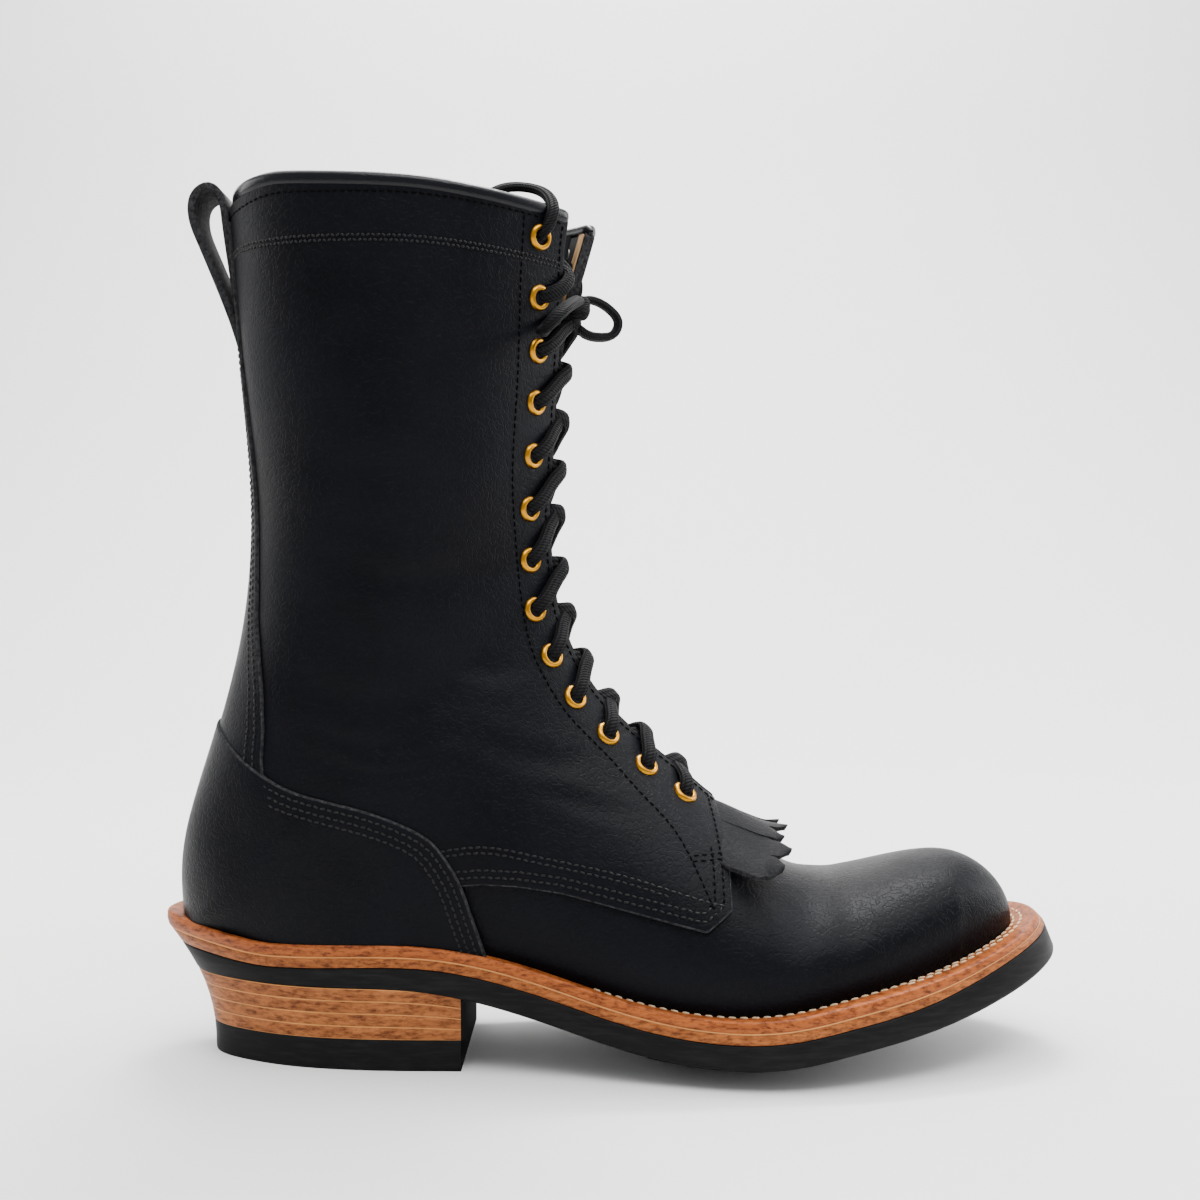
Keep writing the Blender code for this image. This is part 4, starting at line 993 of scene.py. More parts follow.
def line_distance(line, x, z):
    """Distance of places from a side-view line, positive on its left, and the way along it."""
    line = np.asarray(line, float)
    start, step = line[:-1], np.diff(line, axis=0)
    run = run_length(line)
    size = (step**2).sum(axis=1)
    flat_x, flat_z = np.ravel(x), np.ravel(z)
    away, along = np.empty(flat_x.size), np.empty(flat_x.size)
    for block in np.array_split(np.arange(flat_x.size), flat_x.size // 4000 + 1):
        spot = np.stack([flat_x[block], flat_z[block]], axis=1)[:, None] - start
        share = np.clip((spot * step).sum(axis=2) / size, 0.0, 1.0)
        miss = ((spot - share[..., None] * step) ** 2).sum(axis=2)
        near = miss.argmin(axis=1)
        pick = np.arange(len(block)), near
        cross = step[near, 0] * spot[pick][:, 1] - step[near, 1] * spot[pick][:, 0]
        away[block] = np.sqrt(miss[pick]) * np.where(cross < 0, -1.0, 1.0)
        along[block] = run[near] + share[pick] * np.sqrt(size[near])
    return away.reshape(np.shape(x)), along.reshape(np.shape(x))


def fold_height(x, z):
    """Rise and fall of the leather: soft troughs with raised lips along the fold lines."""
    height = np.zeros_like(x)
    for fold in FOLDS:
        line = smooth_route(fold.line, 40)
        away, along = line_distance(line, x, z)
        share = along / run_length(line)[-1]
        fade = np.sin(np.clip(share, 0.0, 1.0) * math.pi) ** 0.8
        away = np.abs(away) / fold.width
        lip = FOLD_LIP * np.exp(-((away - FOLD_LIP_AWAY) ** 2) * FOLD_LIP_NARROW)
        trough = np.exp(-(away**2)) - lip
        height -= fold.depth * fade * trough
    return height


class Surface:
    """Upper's outer surface as a fine grid, from the outer side's base over the ridge to the inner's."""

    def __init__(self):
        dome = np.linspace(-1.0, 0.0, DOME_ROWS)
        foot = np.linspace(0.0, HEEL_AT, FOOT_ROWS)[1:]
        shaft = np.linspace(HEEL_AT, COLLAR_AT, SHAFT_ROWS)[1:]
        self.ks = np.concatenate([dome, foot, shaft])
        shares = np.linspace(0.0, 1.0, COLUMNS + 1)
        halves, self.girths = [], []
        for side in (LATERAL, MEDIAL):
            lines = [section_line(k, side) for k in self.ks]
            rows = [[np.interp(shares * run[-1], run, line[:, i]) for i in range(3)] for line, run in lines]
            halves.append(np.array(rows).transpose(0, 2, 1))
            self.girths.append(np.array([run[-1] for line, run in lines]))
        self.plain = np.concatenate([halves[0][:, ::-1], halves[1][:, 1:]], axis=1)
        across = np.linspace(-1.0, 1.0, 2 * COLUMNS + 1)
        girths = np.where(across < 0, self.girths[0][:, None], self.girths[1][:, None])
        self.arcs = across * girths
        rise = fold_height(self.plain[..., 0], self.plain[..., 2])
        self.points = self.plain + self.find_normals(self.plain) * rise[..., None]
        self.normals = self.find_normals(self.points)

    def find_normals(self, points):
        """Outward directions of a grid of points."""
        normals = unit(np.cross(np.gradient(points, axis=1), np.gradient(points, axis=0)))
        closed = self.ks >= HEEL_AT
        seam = unit(normals[closed, 0] + normals[closed, -1])
        normals[closed, 0] = seam
        normals[closed, -1] = seam
        normals[0] = unit(np.array(TIP_NORMAL))
        return normals

    def mix(self, grid, k, arc):
        """Values of a grid at running lengths and at ways from the ridge, negative on the outer side."""
        k, arc = np.broadcast_arrays(np.asarray(k, float), np.asarray(arc, float))
        outer, inner = (np.interp(k, self.ks, girth) for girth in self.girths)
        share = np.clip(arc / np.where(arc < 0, outer, inner), -1.0, 1.0)
        row = np.interp(k, self.ks, np.arange(len(self.ks)))
        spot = (share + 1) * COLUMNS
        r = np.minimum(row.astype(int), grid.shape[0] - 2)
        c = np.minimum(spot.astype(int), grid.shape[1] - 2)
        up, on = (row - r)[..., None], (spot - c)[..., None]
        low = blend(grid[r, c], grid[r, c + 1], on)
        high = blend(grid[r + 1, c], grid[r + 1, c + 1], on)
        return blend(low, high, up)

    def normal(self, k, arc):
        """Outward directions at places on the surface."""
        return unit(self.mix(self.normals, k, arc))

    def at(self, k, arc, lift=0.0):
        """Points at places on the surface, lifted off it."""
        lift = np.asarray(lift, float)[..., None]
        return self.mix(self.points, k, arc) + lift * self.normal(k, arc)

    def girth(self, k, side):
        """Way round one side of a section from ridge to base."""
        return np.interp(k, self.ks, self.girths[0 if side < 0 else 1])

    def sheet(self):
        """Whole surface as one sheet of triangles, with the values that its cuts and seams follow."""
        shape = self.arcs.shape
        index = np.arange(self.arcs.size).reshape(shape)
        a, b, c, d = index[:-1, :-1], index[:-1, 1:], index[1:, 1:], index[1:, :-1]
        corners = (a, b, c), (a, c, d)
        faces = np.concatenate([np.stack(three, axis=-1).reshape(-1, 3) for three in corners])
        side = np.where(np.arange(shape[1]) < COLUMNS, LATERAL, MEDIAL) * np.ones(shape)
        data = {
            "spot": self.points.reshape(-1, 3),
            "normal": self.normals.reshape(-1, 3),
            "plain": self.plain.reshape(-1, 3),
            "arc": np.abs(self.arcs).ravel(),
            "k": np.repeat(self.ks, shape[1]),
            "side": side.ravel(),
        }
        return weld(data, faces)


def weld(data, faces):
    """Sheet with its points that lie in one place joined, and without the triangles that then vanish."""
    _, first, index = np.unique(np.round(data["spot"], 3), axis=0, return_index=True, return_inverse=True)
    faces = index.reshape(-1)[faces]
    a, b, c = faces.T
    faces = faces[(a != b) & (b != c) & (c != a)]
    return {name: values[first] for name, values in data.items()}, faces


def clip(data, faces, values):
    """Part of a sheet where the values are above zero, cut through its triangles."""
    inside = values > 0
    count = inside[faces].sum(axis=1)
    cut = faces[(count == 1) | (count == 2)]
    flags = inside[cut]
    lone_in = flags.sum(axis=1) == 1
    first = np.where(lone_in[:, None], flags, ~flags).argmax(axis=1)
    a, b, c = np.take_along_axis(cut, (first[:, None] + np.arange(3)) % 3, axis=1).T
    pairs = np.sort(np.concatenate([np.stack([a, b], axis=1), np.stack([a, c], axis=1)]), axis=1)
    ends, index = np.unique(pairs, axis=0, return_inverse=True)
    index = index.reshape(-1) + len(values)
    ab, ac = index[: len(a)], index[len(a) :]
    data = {name: np.concatenate([old, between(old, values, ends)]) for name, old in data.items()}
    out = ~lone_in
    pieces = [
        faces[count == 3],
        np.stack([a, ab, ac], axis=1)[lone_in],
        np.stack([ab, b, c], axis=1)[out],
        np.stack([ab, c, ac], axis=1)[out],
    ]
    faces = np.concatenate(pieces)
    used, index = np.unique(faces, return_inverse=True)
    data = {name: old[used] for name, old in data.items()}
    data["normal"] = unit(data["normal"])
    return weld(data, index.reshape(faces.shape))


def between(old, values, ends):
    """Values where the edges between pairs of points cross zero."""
    i, j = ends.T
    t = values[i] / (values[i] - values[j])
    return blend(old[i], old[j], t.reshape((-1,) + (1,) * (old.ndim - 1)))


def seam_lines(data, faces, values, keep):
    """Lines of points and normals where the values cross zero and the kept ones hold."""
    pairs = np.sort(np.concatenate([faces[:, [0, 1]], faces[:, [1, 2]], faces[:, [2, 0]]]), axis=1)
    ends, index = np.unique(pairs, axis=0, return_inverse=True)
    crossed = (values[ends[:, 0]] > 0) != (values[ends[:, 1]] > 0)
    index = index.reshape(3, -1).T
    hits = crossed[index]
    steps = index[hits.sum(axis=1) == 2]
    steps = steps[hits[hits.sum(axis=1) == 2]].reshape(-1, 2)
    good = np.zeros(len(ends), bool)
    good[crossed] = between(keep.astype(float), values, ends[crossed]) > 0.5
    steps = steps[good[steps].all(axis=1)]
    spots = np.zeros((len(ends), 3))
    normals = np.zeros((len(ends), 3))
    spots[crossed] = between(data["spot"], values, ends[crossed])
    normals[crossed] = between(data["normal"], values, ends[crossed])
    return [(spots[chain], unit(normals[chain])) for chain in chains(steps) if len(chain) > 3]


def chains(steps):
    """Runs of numbers joined end to end by steps between pairs of them."""
    links = {}
    for a, b in steps.tolist():
        links.setdefault(a, []).append(b)
        links.setdefault(b, []).append(a)
    starts = [a for a, others in links.items() if len(others) == 1] + list(links)
    seen, found = set(), []
    for start in starts:
        if start in seen:
            continue
        chain = [start]
        seen.add(start)
        while True:
            ahead = [other for other in links[chain[-1]] if other not in seen]
            if not ahead:
                break
            chain.append(ahead[0])
            seen.add(ahead[0])
        found.append(chain)
    return found


# Meshes


def add_object(name, points, faces, materials, marks=None, uv=None, sharp=None):
    """Smooth object from points in millimetres, faces, materials and each face's material number."""
    mesh = bpy.data.meshes.new(name)
    mesh.from_pydata((np.asarray(points) * MM).tolist(), [], [tuple(face) for face in faces])
    for material in materials if isinstance(materials, (list, tuple)) else [materials]:
        mesh.materials.append(material)
    if marks is not None:
        mesh.polygons.foreach_set("material_index", np.asarray(marks, np.int32))
    if uv is not None:
        layer = mesh.uv_layers.new(name="weave")
        corners = np.empty(len(mesh.loops), np.int32)
        mesh.loops.foreach_get("vertex_index", corners)
        layer.data.foreach_set("uv", np.asarray(uv)[corners].astype(np.float32).ravel())
    mesh.shade_smooth()
    if sharp is not None:
        mesh.set_sharp_from_angle(angle=math.radians(sharp))
    mesh.update()
    piece = bpy.data.objects.new(name, mesh)
    bpy.context.scene.collection.objects.link(piece)
    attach(piece, "root")
    return piece


def rim_edges(faces):
    """Edges of a sheet that only one face has, in that face's direction."""
    edges = np.concatenate([faces[:, [0, 1]], faces[:, [1, 2]], faces[:, [2, 0]]])
    _, index, count = np.unique(np.sort(edges, axis=1), axis=0, return_inverse=True, return_counts=True)
    return edges[count[index.reshape(-1)] == 1]


def panel(name, data, faces, low, high, bevel, materials):
    """Layer of leather between two lifts off the surface, with a rounded edge."""
    spots, normals = data["spot"], data["normal"]
    low, high = (np.broadcast_to(np.asarray(lift, float), len(spots)) for lift in (low, high))
    edges = rim_edges(faces)
    a, b = edges.T
    out = np.cross(unit(spots[b] - spots[a]), normals[a] + normals[b])
    outward = np.zeros_like(spots)
    np.add.at(outward, a, out)
    np.add.at(outward, b, out)
    rim = np.unique(edges)
    outward = unit(outward[rim])
    number = np.zeros(len(spots), int)
    number[rim] = np.arange(len(rim))
    rings = [spots + normals * high[:, None]]
    starts = [np.arange(len(spots))]
    for turn in np.linspace(0.0, math.pi / 2, 5)[1:]:
        lift = high[rim] - bevel * (1 - math.cos(turn))
        rings.append(spots[rim] + outward * bevel * math.sin(turn) + normals[rim] * lift[:, None])
    rings.append(spots[rim] + outward * bevel + normals[rim] * low[rim][:, None])
    total = len(spots)
    walls = []
    for i in range(1, len(rings)):
        starts.append(total + number)
        total += len(rim)
        walls.append(np.stack([starts[i - 1][b], starts[i - 1][a], starts[i][a], starts[i][b]], axis=1))
    walls = np.concatenate(walls)
    marks = [0] * len(faces) + [1 if len(materials) > 1 else 0] * len(walls)
    return add_object(name, np.concatenate(rings), faces.tolist() + walls.tolist(), materials, marks)


def grid_faces(rows, columns, around=False):
    """Four-cornered faces of a grid of points, closed round its columns where asked."""
    index = np.arange(rows * columns).reshape(rows, columns)
    if around:
        index = np.concatenate([index, index[:, :1]], axis=1)
    corners = (index[:-1, :-1], index[:-1, 1:], index[1:, 1:], index[1:, :-1])
    return np.stack(corners, axis=-1).reshape(-1, 4)


def gather(pieces):
    """Points, faces and UVs of several meshes joined in one."""
    points, faces, uvs, start = [], [], [], 0
    for piece in pieces:
        points.append(piece[0])
        faces += (np.asarray(piece[1]) + start).tolist()
        uvs.append(piece[2] if len(piece) > 2 else np.zeros((len(piece[0]), 2)))
        start += len(piece[0])
    return np.concatenate(points), faces, np.concatenate(uvs)


def ribbon(route, normals, half_width, half_height, sides=16):
    """Flat oval lace along a route, its flat side to the normals: points, faces and UVs."""
    heading = unit(np.gradient(route, axis=0))
    wide = np.cross(heading, normals)
    apart = np.arange(len(route))[:, None] - np.arange(len(route))
    spread = np.exp(-((apart / RIBBON_EASE) ** 2))
    wide = spread @ wide
    wide = unit(wide - heading * (wide * heading).sum(axis=1, keepdims=True))
    thick = np.cross(wide, heading)
    run = run_length(route)
    turns = np.linspace(0.0, 2 * math.pi, sides + 1)
    rows, uvs = [], []
    ends = np.minimum(np.minimum(run, run[-1] - run) / half_height, 1.0)
    size = np.sqrt(np.maximum(1 - (1 - ends) ** 2, RIBBON_TIP))
    for i in range(len(route)):
        across = np.sign(np.cos(turns)) * np.abs(np.cos(turns)) ** RIBBON_SQUARE * half_width * size[i]
        above = np.sign(np.sin(turns)) * np.abs(np.sin(turns)) ** RIBBON_SQUARE * half_height * size[i]
        rows.append(route[i] + across[:, None] * wide[i] + above[:, None] * thick[i])
        uvs.append(np.stack([np.full(sides + 1, run[i] * MM), turns / (2 * math.pi)], axis=1))
    return np.concatenate(rows), grid_faces(len(route), sides + 1), np.concatenate(uvs)


def tube(route, radius, sides=16):
    """Round tube along a route, with rounded ends."""
    heading = unit(np.gradient(route, axis=0))
    side = np.cross(heading, (0.0, 0.0, 1.0))
    return ribbon(route, np.cross(side, heading), radius, radius, sides)


def along_run(ways, run, values):
    """Values at ways along a line, from its running length and the values at its points."""
    return np.stack([np.interp(ways, run, values[:, i]) for i in range(3)], axis=1)


def stitch_run(spots, normals, pitch, length, radius, lift, slant, zigzag):
    """Row of stitches along a line on a surface: points and faces."""
    run = run_length(spots)
    count = max(int(run[-1] / pitch), 1)
    starts = (np.arange(count) + 0.5 * (1 - length / pitch)) * run[-1] / count
    ends = [along_run(starts + way, run, spots) for way in (0.0, length)]
    up = along_run(starts + length / 2, run, normals)
    ahead = unit(ends[1] - ends[0])
    up = unit(up - ahead * (up * ahead).sum(axis=1, keepdims=True))
    out = np.cross(ahead, up)
    turn = (slant + zigzag * (-1.0) ** np.arange(count))[:, None]
    ahead, out = ahead * np.cos(turn) + out * np.sin(turn), out * np.cos(turn) - ahead * np.sin(turn)
    middle = (ends[0] + ends[1]) / 2 + up * lift
    points = []
    for way, size, drop in STITCH_SHAPE:
        for turn in np.linspace(0.0, 2 * math.pi, STITCH_SIDES, endpoint=False):
            spot = middle + ahead * way * length + out * math.cos(turn) * size * radius
            points.append(spot + up * (math.sin(turn) * size * radius + drop * radius))
    points = np.stack(points, axis=1)
    faces = grid_faces(len(STITCH_SHAPE), STITCH_SIDES, around=True)
    each = points.shape[1]
    faces = (faces[None] + (np.arange(count) * each)[:, None, None]).reshape(-1, 4)
    return points.reshape(-1, 3), faces


# Materials


class Shading:
    """Node tree of one Principled material, with short ways to add its nodes."""

    def __init__(self, name, roughness, **values):
        self.material = bpy.data.materials.new(name)
        self.material.use_nodes = True
        self.tree = self.material.node_tree
        self.shader = self.tree.nodes["Principled BSDF"]
        self.set(Roughness=roughness, **values)
        self.place = self.add("ShaderNodeTexCoord").outputs["Object"]

    def feed(self, socket, value):
        """Link another node's output to an input, or set the input's own value."""
        if isinstance(value, bpy.types.NodeSocket):
            self.tree.links.new(value, socket)
        else:
            socket.default_value = value

    def add(self, kind, inputs=None, **settings):
        """New node with settings and inputs, each a value or another node's output."""
        made = self.tree.nodes.new(kind)
        for key, value in settings.items():
            setattr(made, key, value)
        for key, value in (inputs or {}).items():
            self.feed(made.inputs[key], value)
        return made

    def stretched(self, scale):
        """Object coordinates scaled differently along X, Y and Z."""
        return self.add("ShaderNodeMapping", {"Vector": self.place, "Scale": scale}).outputs[0]

    def noise(self, scale, detail=3.0, rough=0.5, vector=None):
        """Noise in object coordinates."""
        inputs = {"Vector": vector or self.place, "Scale": scale, "Detail": detail, "Roughness": rough}
        return self.add("ShaderNodeTexNoise", inputs).outputs["Fac"]

    def ramp(self, value, *stops):
        """Colours by value, from pairs of a place and a colour."""
        made = self.add("ShaderNodeValToRGB", {"Fac": value})
        while len(made.color_ramp.elements) < len(stops):
            made.color_ramp.elements.new(0.5)
        for element, (spot, colour) in zip(made.color_ramp.elements, stops):
            element.position = spot
            element.color = (*colour, 1.0)
        return made.outputs["Color"]

    def spread(self, value, low, high, start=0.3, full=0.7):
        """Value moved from one range into another."""
        inputs = {"Value": value, "From Min": start, "From Max": full, "To Min": low, "To Max": high}
        return self.add("ShaderNodeMapRange", inputs).outputs[0]

    def sum(self, a, b, operation="ADD"):
        """Two values added, multiplied or otherwise joined."""
        made = self.add("ShaderNodeMath", operation=operation)
        for socket, value in zip(made.inputs, (a, b)):
            self.feed(socket, value)
        return made.outputs[0]

    def bump(self, height, depth, under=None):
        """Normals of a height of some millimetres, over another bump where given."""
        inputs = {"Height": height, "Distance": depth * MM, "Strength": 1.0}
        if under is not None:
            inputs["Normal"] = under
        return self.add("ShaderNodeBump", inputs).outputs["Normal"]

    def set(self, **inputs):
        """Link or set inputs of the shader."""
        for key, value in inputs.items():
            self.feed(self.shader.inputs[key.replace("_", " ")], value)
        return self.material


def black_leather(name, colour, roughness, grain, wrinkle, shine):
    """Smooth black waxed leather with fine grain, fine wrinkles and a slightly uneven shine."""
    made = Shading(name, roughness)
    broad = made.noise(28.0, 4.0)
    fine = made.noise(1500.0, 2.0)
    ridge = made.sum(made.sum(made.noise(430.0, 1.6), 0.5, "SUBTRACT"), 0.0, "ABSOLUTE")
    pores = made.spread(ridge, 0.0, 1.0, 0.0, 0.06)
    streaks = made.noise(1.0, 6.0, 0.66, made.stretched((260.0, 260.0, 420.0)))
    normal = made.bump(streaks, wrinkle)
    normal = made.bump(pores, grain, normal)
    normal = made.bump(fine, grain, normal)
    tone = made.ramp(broad, (0.3, shaded(colour, 0.55)), (0.75, tuple(colour)))
    gloss = made.spread(broad, roughness - 0.05, roughness + 0.07)
    return made.set(Base_Color=tone, Roughness=gloss, Normal=normal, Specular_IOR_Level=shine)


def shaded(colour, *shares):
    """Darker or paler colour, by one share or by one for each of red, green and blue."""
    return tuple(value * share for value, share in zip(colour, shares * 3))


@functools.lru_cache(maxsize=None)
def upper_leather():
    """Leather of the vamp, quarters, counter and back strap."""
    upper = boot().upper
    grain, wrinkle = mm(upper.grain), mm(upper.wrinkle)
    return black_leather("upper_leather", upper.leather, upper.roughness, grain, wrinkle, LEATHER_SHINE)


@functools.lru_cache(maxsize=None)
def cut_edge():
    """Rough dark cut edge of black leather."""
    made = Shading("cut_edge", 0.8)
    fibres = made.noise(750.0, 5.0, 0.7)
    colour = made.ramp(fibres, (0.35, (0.004, 0.004, 0.0045)), (0.7, (0.036, 0.036, 0.038)))
    return made.set(Base_Color=colour, Normal=made.bump(fibres, 0.3), Specular_IOR_Level=0.06)


def tan_leather(name, colour, speck, along=(300.0, 300.0, 900.0)):
    """Vegetable-tanned edge with fibres and dark flecks that run with the layer."""
    made = Shading(name, 0.5)
    flecks = made.noise(1.0, 6.0, 0.72, made.stretched(along))
    broad = made.noise(1.0, 3.0, 0.6, made.stretched((50.0, 50.0, 420.0)))
    tone = made.ramp(broad, (0.3, shaded(colour, 0.71, 0.65, 0.6)), (0.7, tuple(colour)))
    fleck = made.spread(flecks, 1.0, 0.0, 0.36, 0.34 + speck * 0.8)
    mix = made.add("ShaderNodeMix", {"Factor": fleck}, data_type="RGBA", blend_type="MULTIPLY")
    made.feed(mix.inputs[6], tone)
    made.feed(mix.inputs[7], (*FLECK_STAIN, 1.0))
    normal = made.bump(flecks, 0.12)
    return made.set(Base_Color=mix.outputs[2], Normal=normal, Specular_IOR_Level=0.15)


def plain_leather(name, colour, roughness, shine=0.3):
    """Leather of nearly one colour, for linings, glue lines and the insole."""
    made = Shading(name, roughness, Specular_IOR_Level=shine)
    tone = made.ramp(made.noise(60.0, 4.0), (0.3, shaded(colour, 0.72)), (0.7, tuple(colour)))
    return made.set(Base_Color=tone, Normal=made.bump(made.noise(900.0), 0.08))


@functools.lru_cache(maxsize=None)
def glue_line():
    """Paler line of glue between layers of leather."""
    return plain_leather("glue_line", boot().sole.glue, 0.5)


def rubber(name, colour, roughness):
    """Matte black rubber with light scuffs."""
    made = Shading(name, roughness)
    scuffs = made.noise(1.0, 5.0, 0.65, made.stretched((90.0, 90.0, 700.0)))
    tone = made.ramp(scuffs, (0.45, tuple(colour)), (0.8, shaded(colour, 2.4)))
    return made.set(Base_Color=tone, Normal=made.bump(scuffs, 0.06), Specular_IOR_Level=0.06)


@functools.lru_cache(maxsize=None)
def sole_rubber():
    """Rubber of the outsole and the heel's top lift."""
    return rubber("sole_rubber", boot().sole.rubber, 0.5)


def metal(name, colour, roughness):
    """Polished metal with faint wear."""
    made = Shading(name, roughness, Metallic=1.0)
    wear = made.noise(700.0, 3.0)
    return made.set(Base_Color=made.ramp(wear, (0.3, shaded(colour, 0.98)), (0.7, tuple(colour))))


@functools.lru_cache(maxsize=None)
def lace_weave():
    """Woven lace: ribs along it crossed by slanting threads, with painted highlight on their raised tops and
    painted shade in the grooves between them.
    """
    colour = boot().lace.fabric
    made = Shading("lace_weave", 0.7, Specular_IOR_Level=0.08)
    uv = made.add("ShaderNodeUVMap", uv_map="weave").outputs[0]
    parts = made.add("ShaderNodeSeparateXYZ", {"Vector": uv})
    turn = made.sum(parts.outputs[1], WEAVE_RIBS * 2 * math.pi, "MULTIPLY")
    way = made.sum(parts.outputs[0], 2 * math.pi / (WEAVE_PITCH * MM), "MULTIPLY")
    rib = made.sum(turn, 0.0, "SINE")
    cross = made.sum(made.sum(way, turn), 0.0, "SINE")
    height = made.sum(rib, made.sum(cross, 0.7, "MULTIPLY"))
    share = made.spread(height, 0.0, 1.0, -1.4, 1.4)
    # Painted light and shade: the colour follows the weave's height, up to 2.6 times paler on raised threads
    # and darkest in the grooves
    tone = made.ramp(share, (0.1, tuple(colour)), (0.95, shaded(colour, 2.6)))
    return made.set(Base_Color=tone, Normal=made.bump(height, 0.16))


def waxed_thread(name, colour, roughness, shine):
    """Waxed sewing thread with a twist."""
    made = Shading(name, roughness)
    twist = made.noise(1600.0, 1.0)
    tone = made.ramp(twist, (0.3, shaded(colour, 0.7)), (0.7, tuple(colour)))
    return made.set(Base_Color=tone, Normal=made.bump(twist, 0.08), Specular_IOR_Level=shine)


def place(piece, slot, *nodes):
    """Hide the solids that a piece shows in full, so that it stands for them, and hand the piece back; the
    slot is not used.
    """
    if nodes:
        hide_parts(*nodes)
    return piece


# Sole and welt


def sole_circuit():
    """Station angles and sides once round the sole."""
    half = np.linspace(0.0, 180.0, SOLE_STEPS)
    angles = np.concatenate([half, half[-2:0:-1]])
    sides = np.concatenate([np.full(len(half), LATERAL), np.full(len(half) - 2, MEDIAL)])
    return angles, sides


def edge_band(name, profile, material, inner=None):
    """Band round the sole with one layer's edge, and where given its top face in to the feather line."""
    angles, sides = sole_circuit()
    rows = [sole_rim(angles, sides, point.height, point.inset) for point in profile]
    if inner is not None:
        rim = rows[-1][:, :2]
        inside = feather(angles, sides, inner)
        for share in np.linspace(0.0, 1.0, WELT_TOP_STEPS)[1:]:
            rows.append(layer_top(blend(rim, inside, share), profile[-1].height))
    faces = grid_faces(len(rows), len(angles), around=True)
    return add_object(name, np.concatenate(rows), faces[:, ::-1].tolist(), material)


def lug_drop(x, share, bars, depth):
    """How far the lug bars stand below the outsole's smooth underside."""
    drop = np.zeros_like(x)
    for bar in range(bars):
        start = LUG_FIRST + LUG_PITCH * bar
        end = start + LUG_LENGTH
        here = smoothstep(start, start + LUG_SLOPE, x) * smoothstep(end, end - LUG_SLOPE, x)
        drop = np.maximum(drop, here)
    drop *= blend(depth, LUG_TOE_DEPTH, smoothstep(*LUG_TOE_SPAN, x))
    return drop * smoothstep(*LUG_END_SPAN, np.abs(share))


def make_underside(material):
    """Smooth underside of the outsole with its lug bars."""
    sole = boot().sole
    angles = np.linspace(1.0, 179.0, UNDERSIDE_ROWS)
    shares = np.linspace(-1.0, 1.0, UNDERSIDE_COLUMNS)
    low, high = (sole_rim(angles, side, 0.0, UNDERSIDE_INSET)[:, :2] for side in (LATERAL, MEDIAL))
    plan = blend(low[:, None], high[:, None], (shares[None, :, None] + 1) / 2)
    points = with_height(plan, 0.0)
    points[..., 2] -= lug_drop(plan[..., 0], shares + 0 * plan[..., 0], sole.lug_bars, mm(sole.lug_depth))
    points[..., 2] = np.maximum(points[..., 2], 0.0)
    faces = grid_faces(len(angles), len(shares))
    return add_object("outsole_underside", points.reshape(-1, 3), faces.tolist(), material)


def welt_rows():
    """White stitch rows on the welt's top: one beside the upper, and a second round the toe."""
    rows = []
    for out, first in WELT_ROWS:
        half = np.linspace(first, 180.0, WELT_ROW_STEPS)
        angles = np.concatenate([half, half[-2::-1]])
        sides = np.where(np.arange(len(angles)) < WELT_ROW_STEPS, LATERAL, MEDIAL)
        spots = layer_top(feather(angles, sides, -out), WELT_TOP)
        rows.append((spots, np.tile((0.0, 0.0, 1.0), (len(spots), 1))))
    return rows


def build_sole():
    """Outsole, midsole and welt with their stitching."""
    sole = boot().sole
    place(edge_band("outsole_edge", OUTSOLE_EDGE, sole_rubber()), "black_rubber", "outsole")
    place(make_underside(sole_rubber()), "black_rubber")
    midsole_tan = tan_leather("midsole_leather", sole.midsole, 0.30)
    place(edge_band("midsole_edge", MIDSOLE_EDGE, midsole_tan), "tan_leather", "midsole")
    place(edge_band("glue_edge", GLUE_EDGE, glue_line()), "tan_leather")
    welt_tan = tan_leather("welt_leather", sole.welt, 0.26)
    place(edge_band("welt_edge", WELT_EDGE, welt_tan, WELT_UNDER_UPPER), "tan_leather", "welt")
    white = waxed_thread("white_thread", sole.thread, 0.55, 0.2)
    sizes = mm(sole.stitch_pitch), mm(sole.stitch_length), mm(sole.stitch_radius)
    lay = WELT_STITCH_LIFT, WELT_STITCH_SLANT, 0.0
    runs = [stitch_run(spots, normals, *sizes, *lay) for spots, normals in welt_rows()]
    points, faces, _ = gather(runs)
    place(add_object("welt_stitches", points, faces, white), "tan_leather")


# Heel


def heel_piece(name, low, high, materials):
    """One lift of the heel: its side, the glue lines at its edges and its breast."""
    breast = float(station(HEEL_BREAST))
    half = np.linspace(0.0, breast, HEEL_STEPS)
    angles = np.concatenate([half[::-1], half[1:]])
    sides = np.where(np.arange(len(angles)) < HEEL_STEPS, LATERAL, MEDIAL)
    plan = sole_outline(angles, sides)
    normal = outline_normal(angles, sides)
    floor, top = low(plan[:, 0]), high(plan[:, 0])
    rows = []
    for share, inset in LIFT_EDGE:
        z = blend(floor, top, share)
        spots = heel_taper(plan, z) - normal * inset
        spots[[0, -1], 0] = HEEL_BREAST
        rows.append(np.column_stack([spots, z]))
    count = len(angles)
    faces = grid_faces(len(rows), count, around=True).tolist()
    marks = np.zeros((len(rows) - 1, count), int)
    marks[[0, -1]] = 1
    marks[:, -1] = 2
    last = (len(rows) - 1) * count
    for i in range(count // 2):
        j = count - 1 - i
        if j - 1 > i + 1:
            faces += [(i, i + 1, j - 1, j), (last + j, last + j - 1, last + i + 1, last + i)]
    marks = np.concatenate([marks.ravel(), np.zeros(len(faces) - marks.size, int)])
    return add_object(name, np.concatenate(rows), faces, materials, marks, sharp=50)


def lift_level(top_lift, share):
    """Height over the place along the heel of a level between the top lift and the outsole."""

    def level(x):
        return blend(top_lift, UNDERSIDE(x), share)

    return level


def flat_level(z):
    """One height all along the heel."""

    def level(x):
        return np.full_like(x, z)

    return level


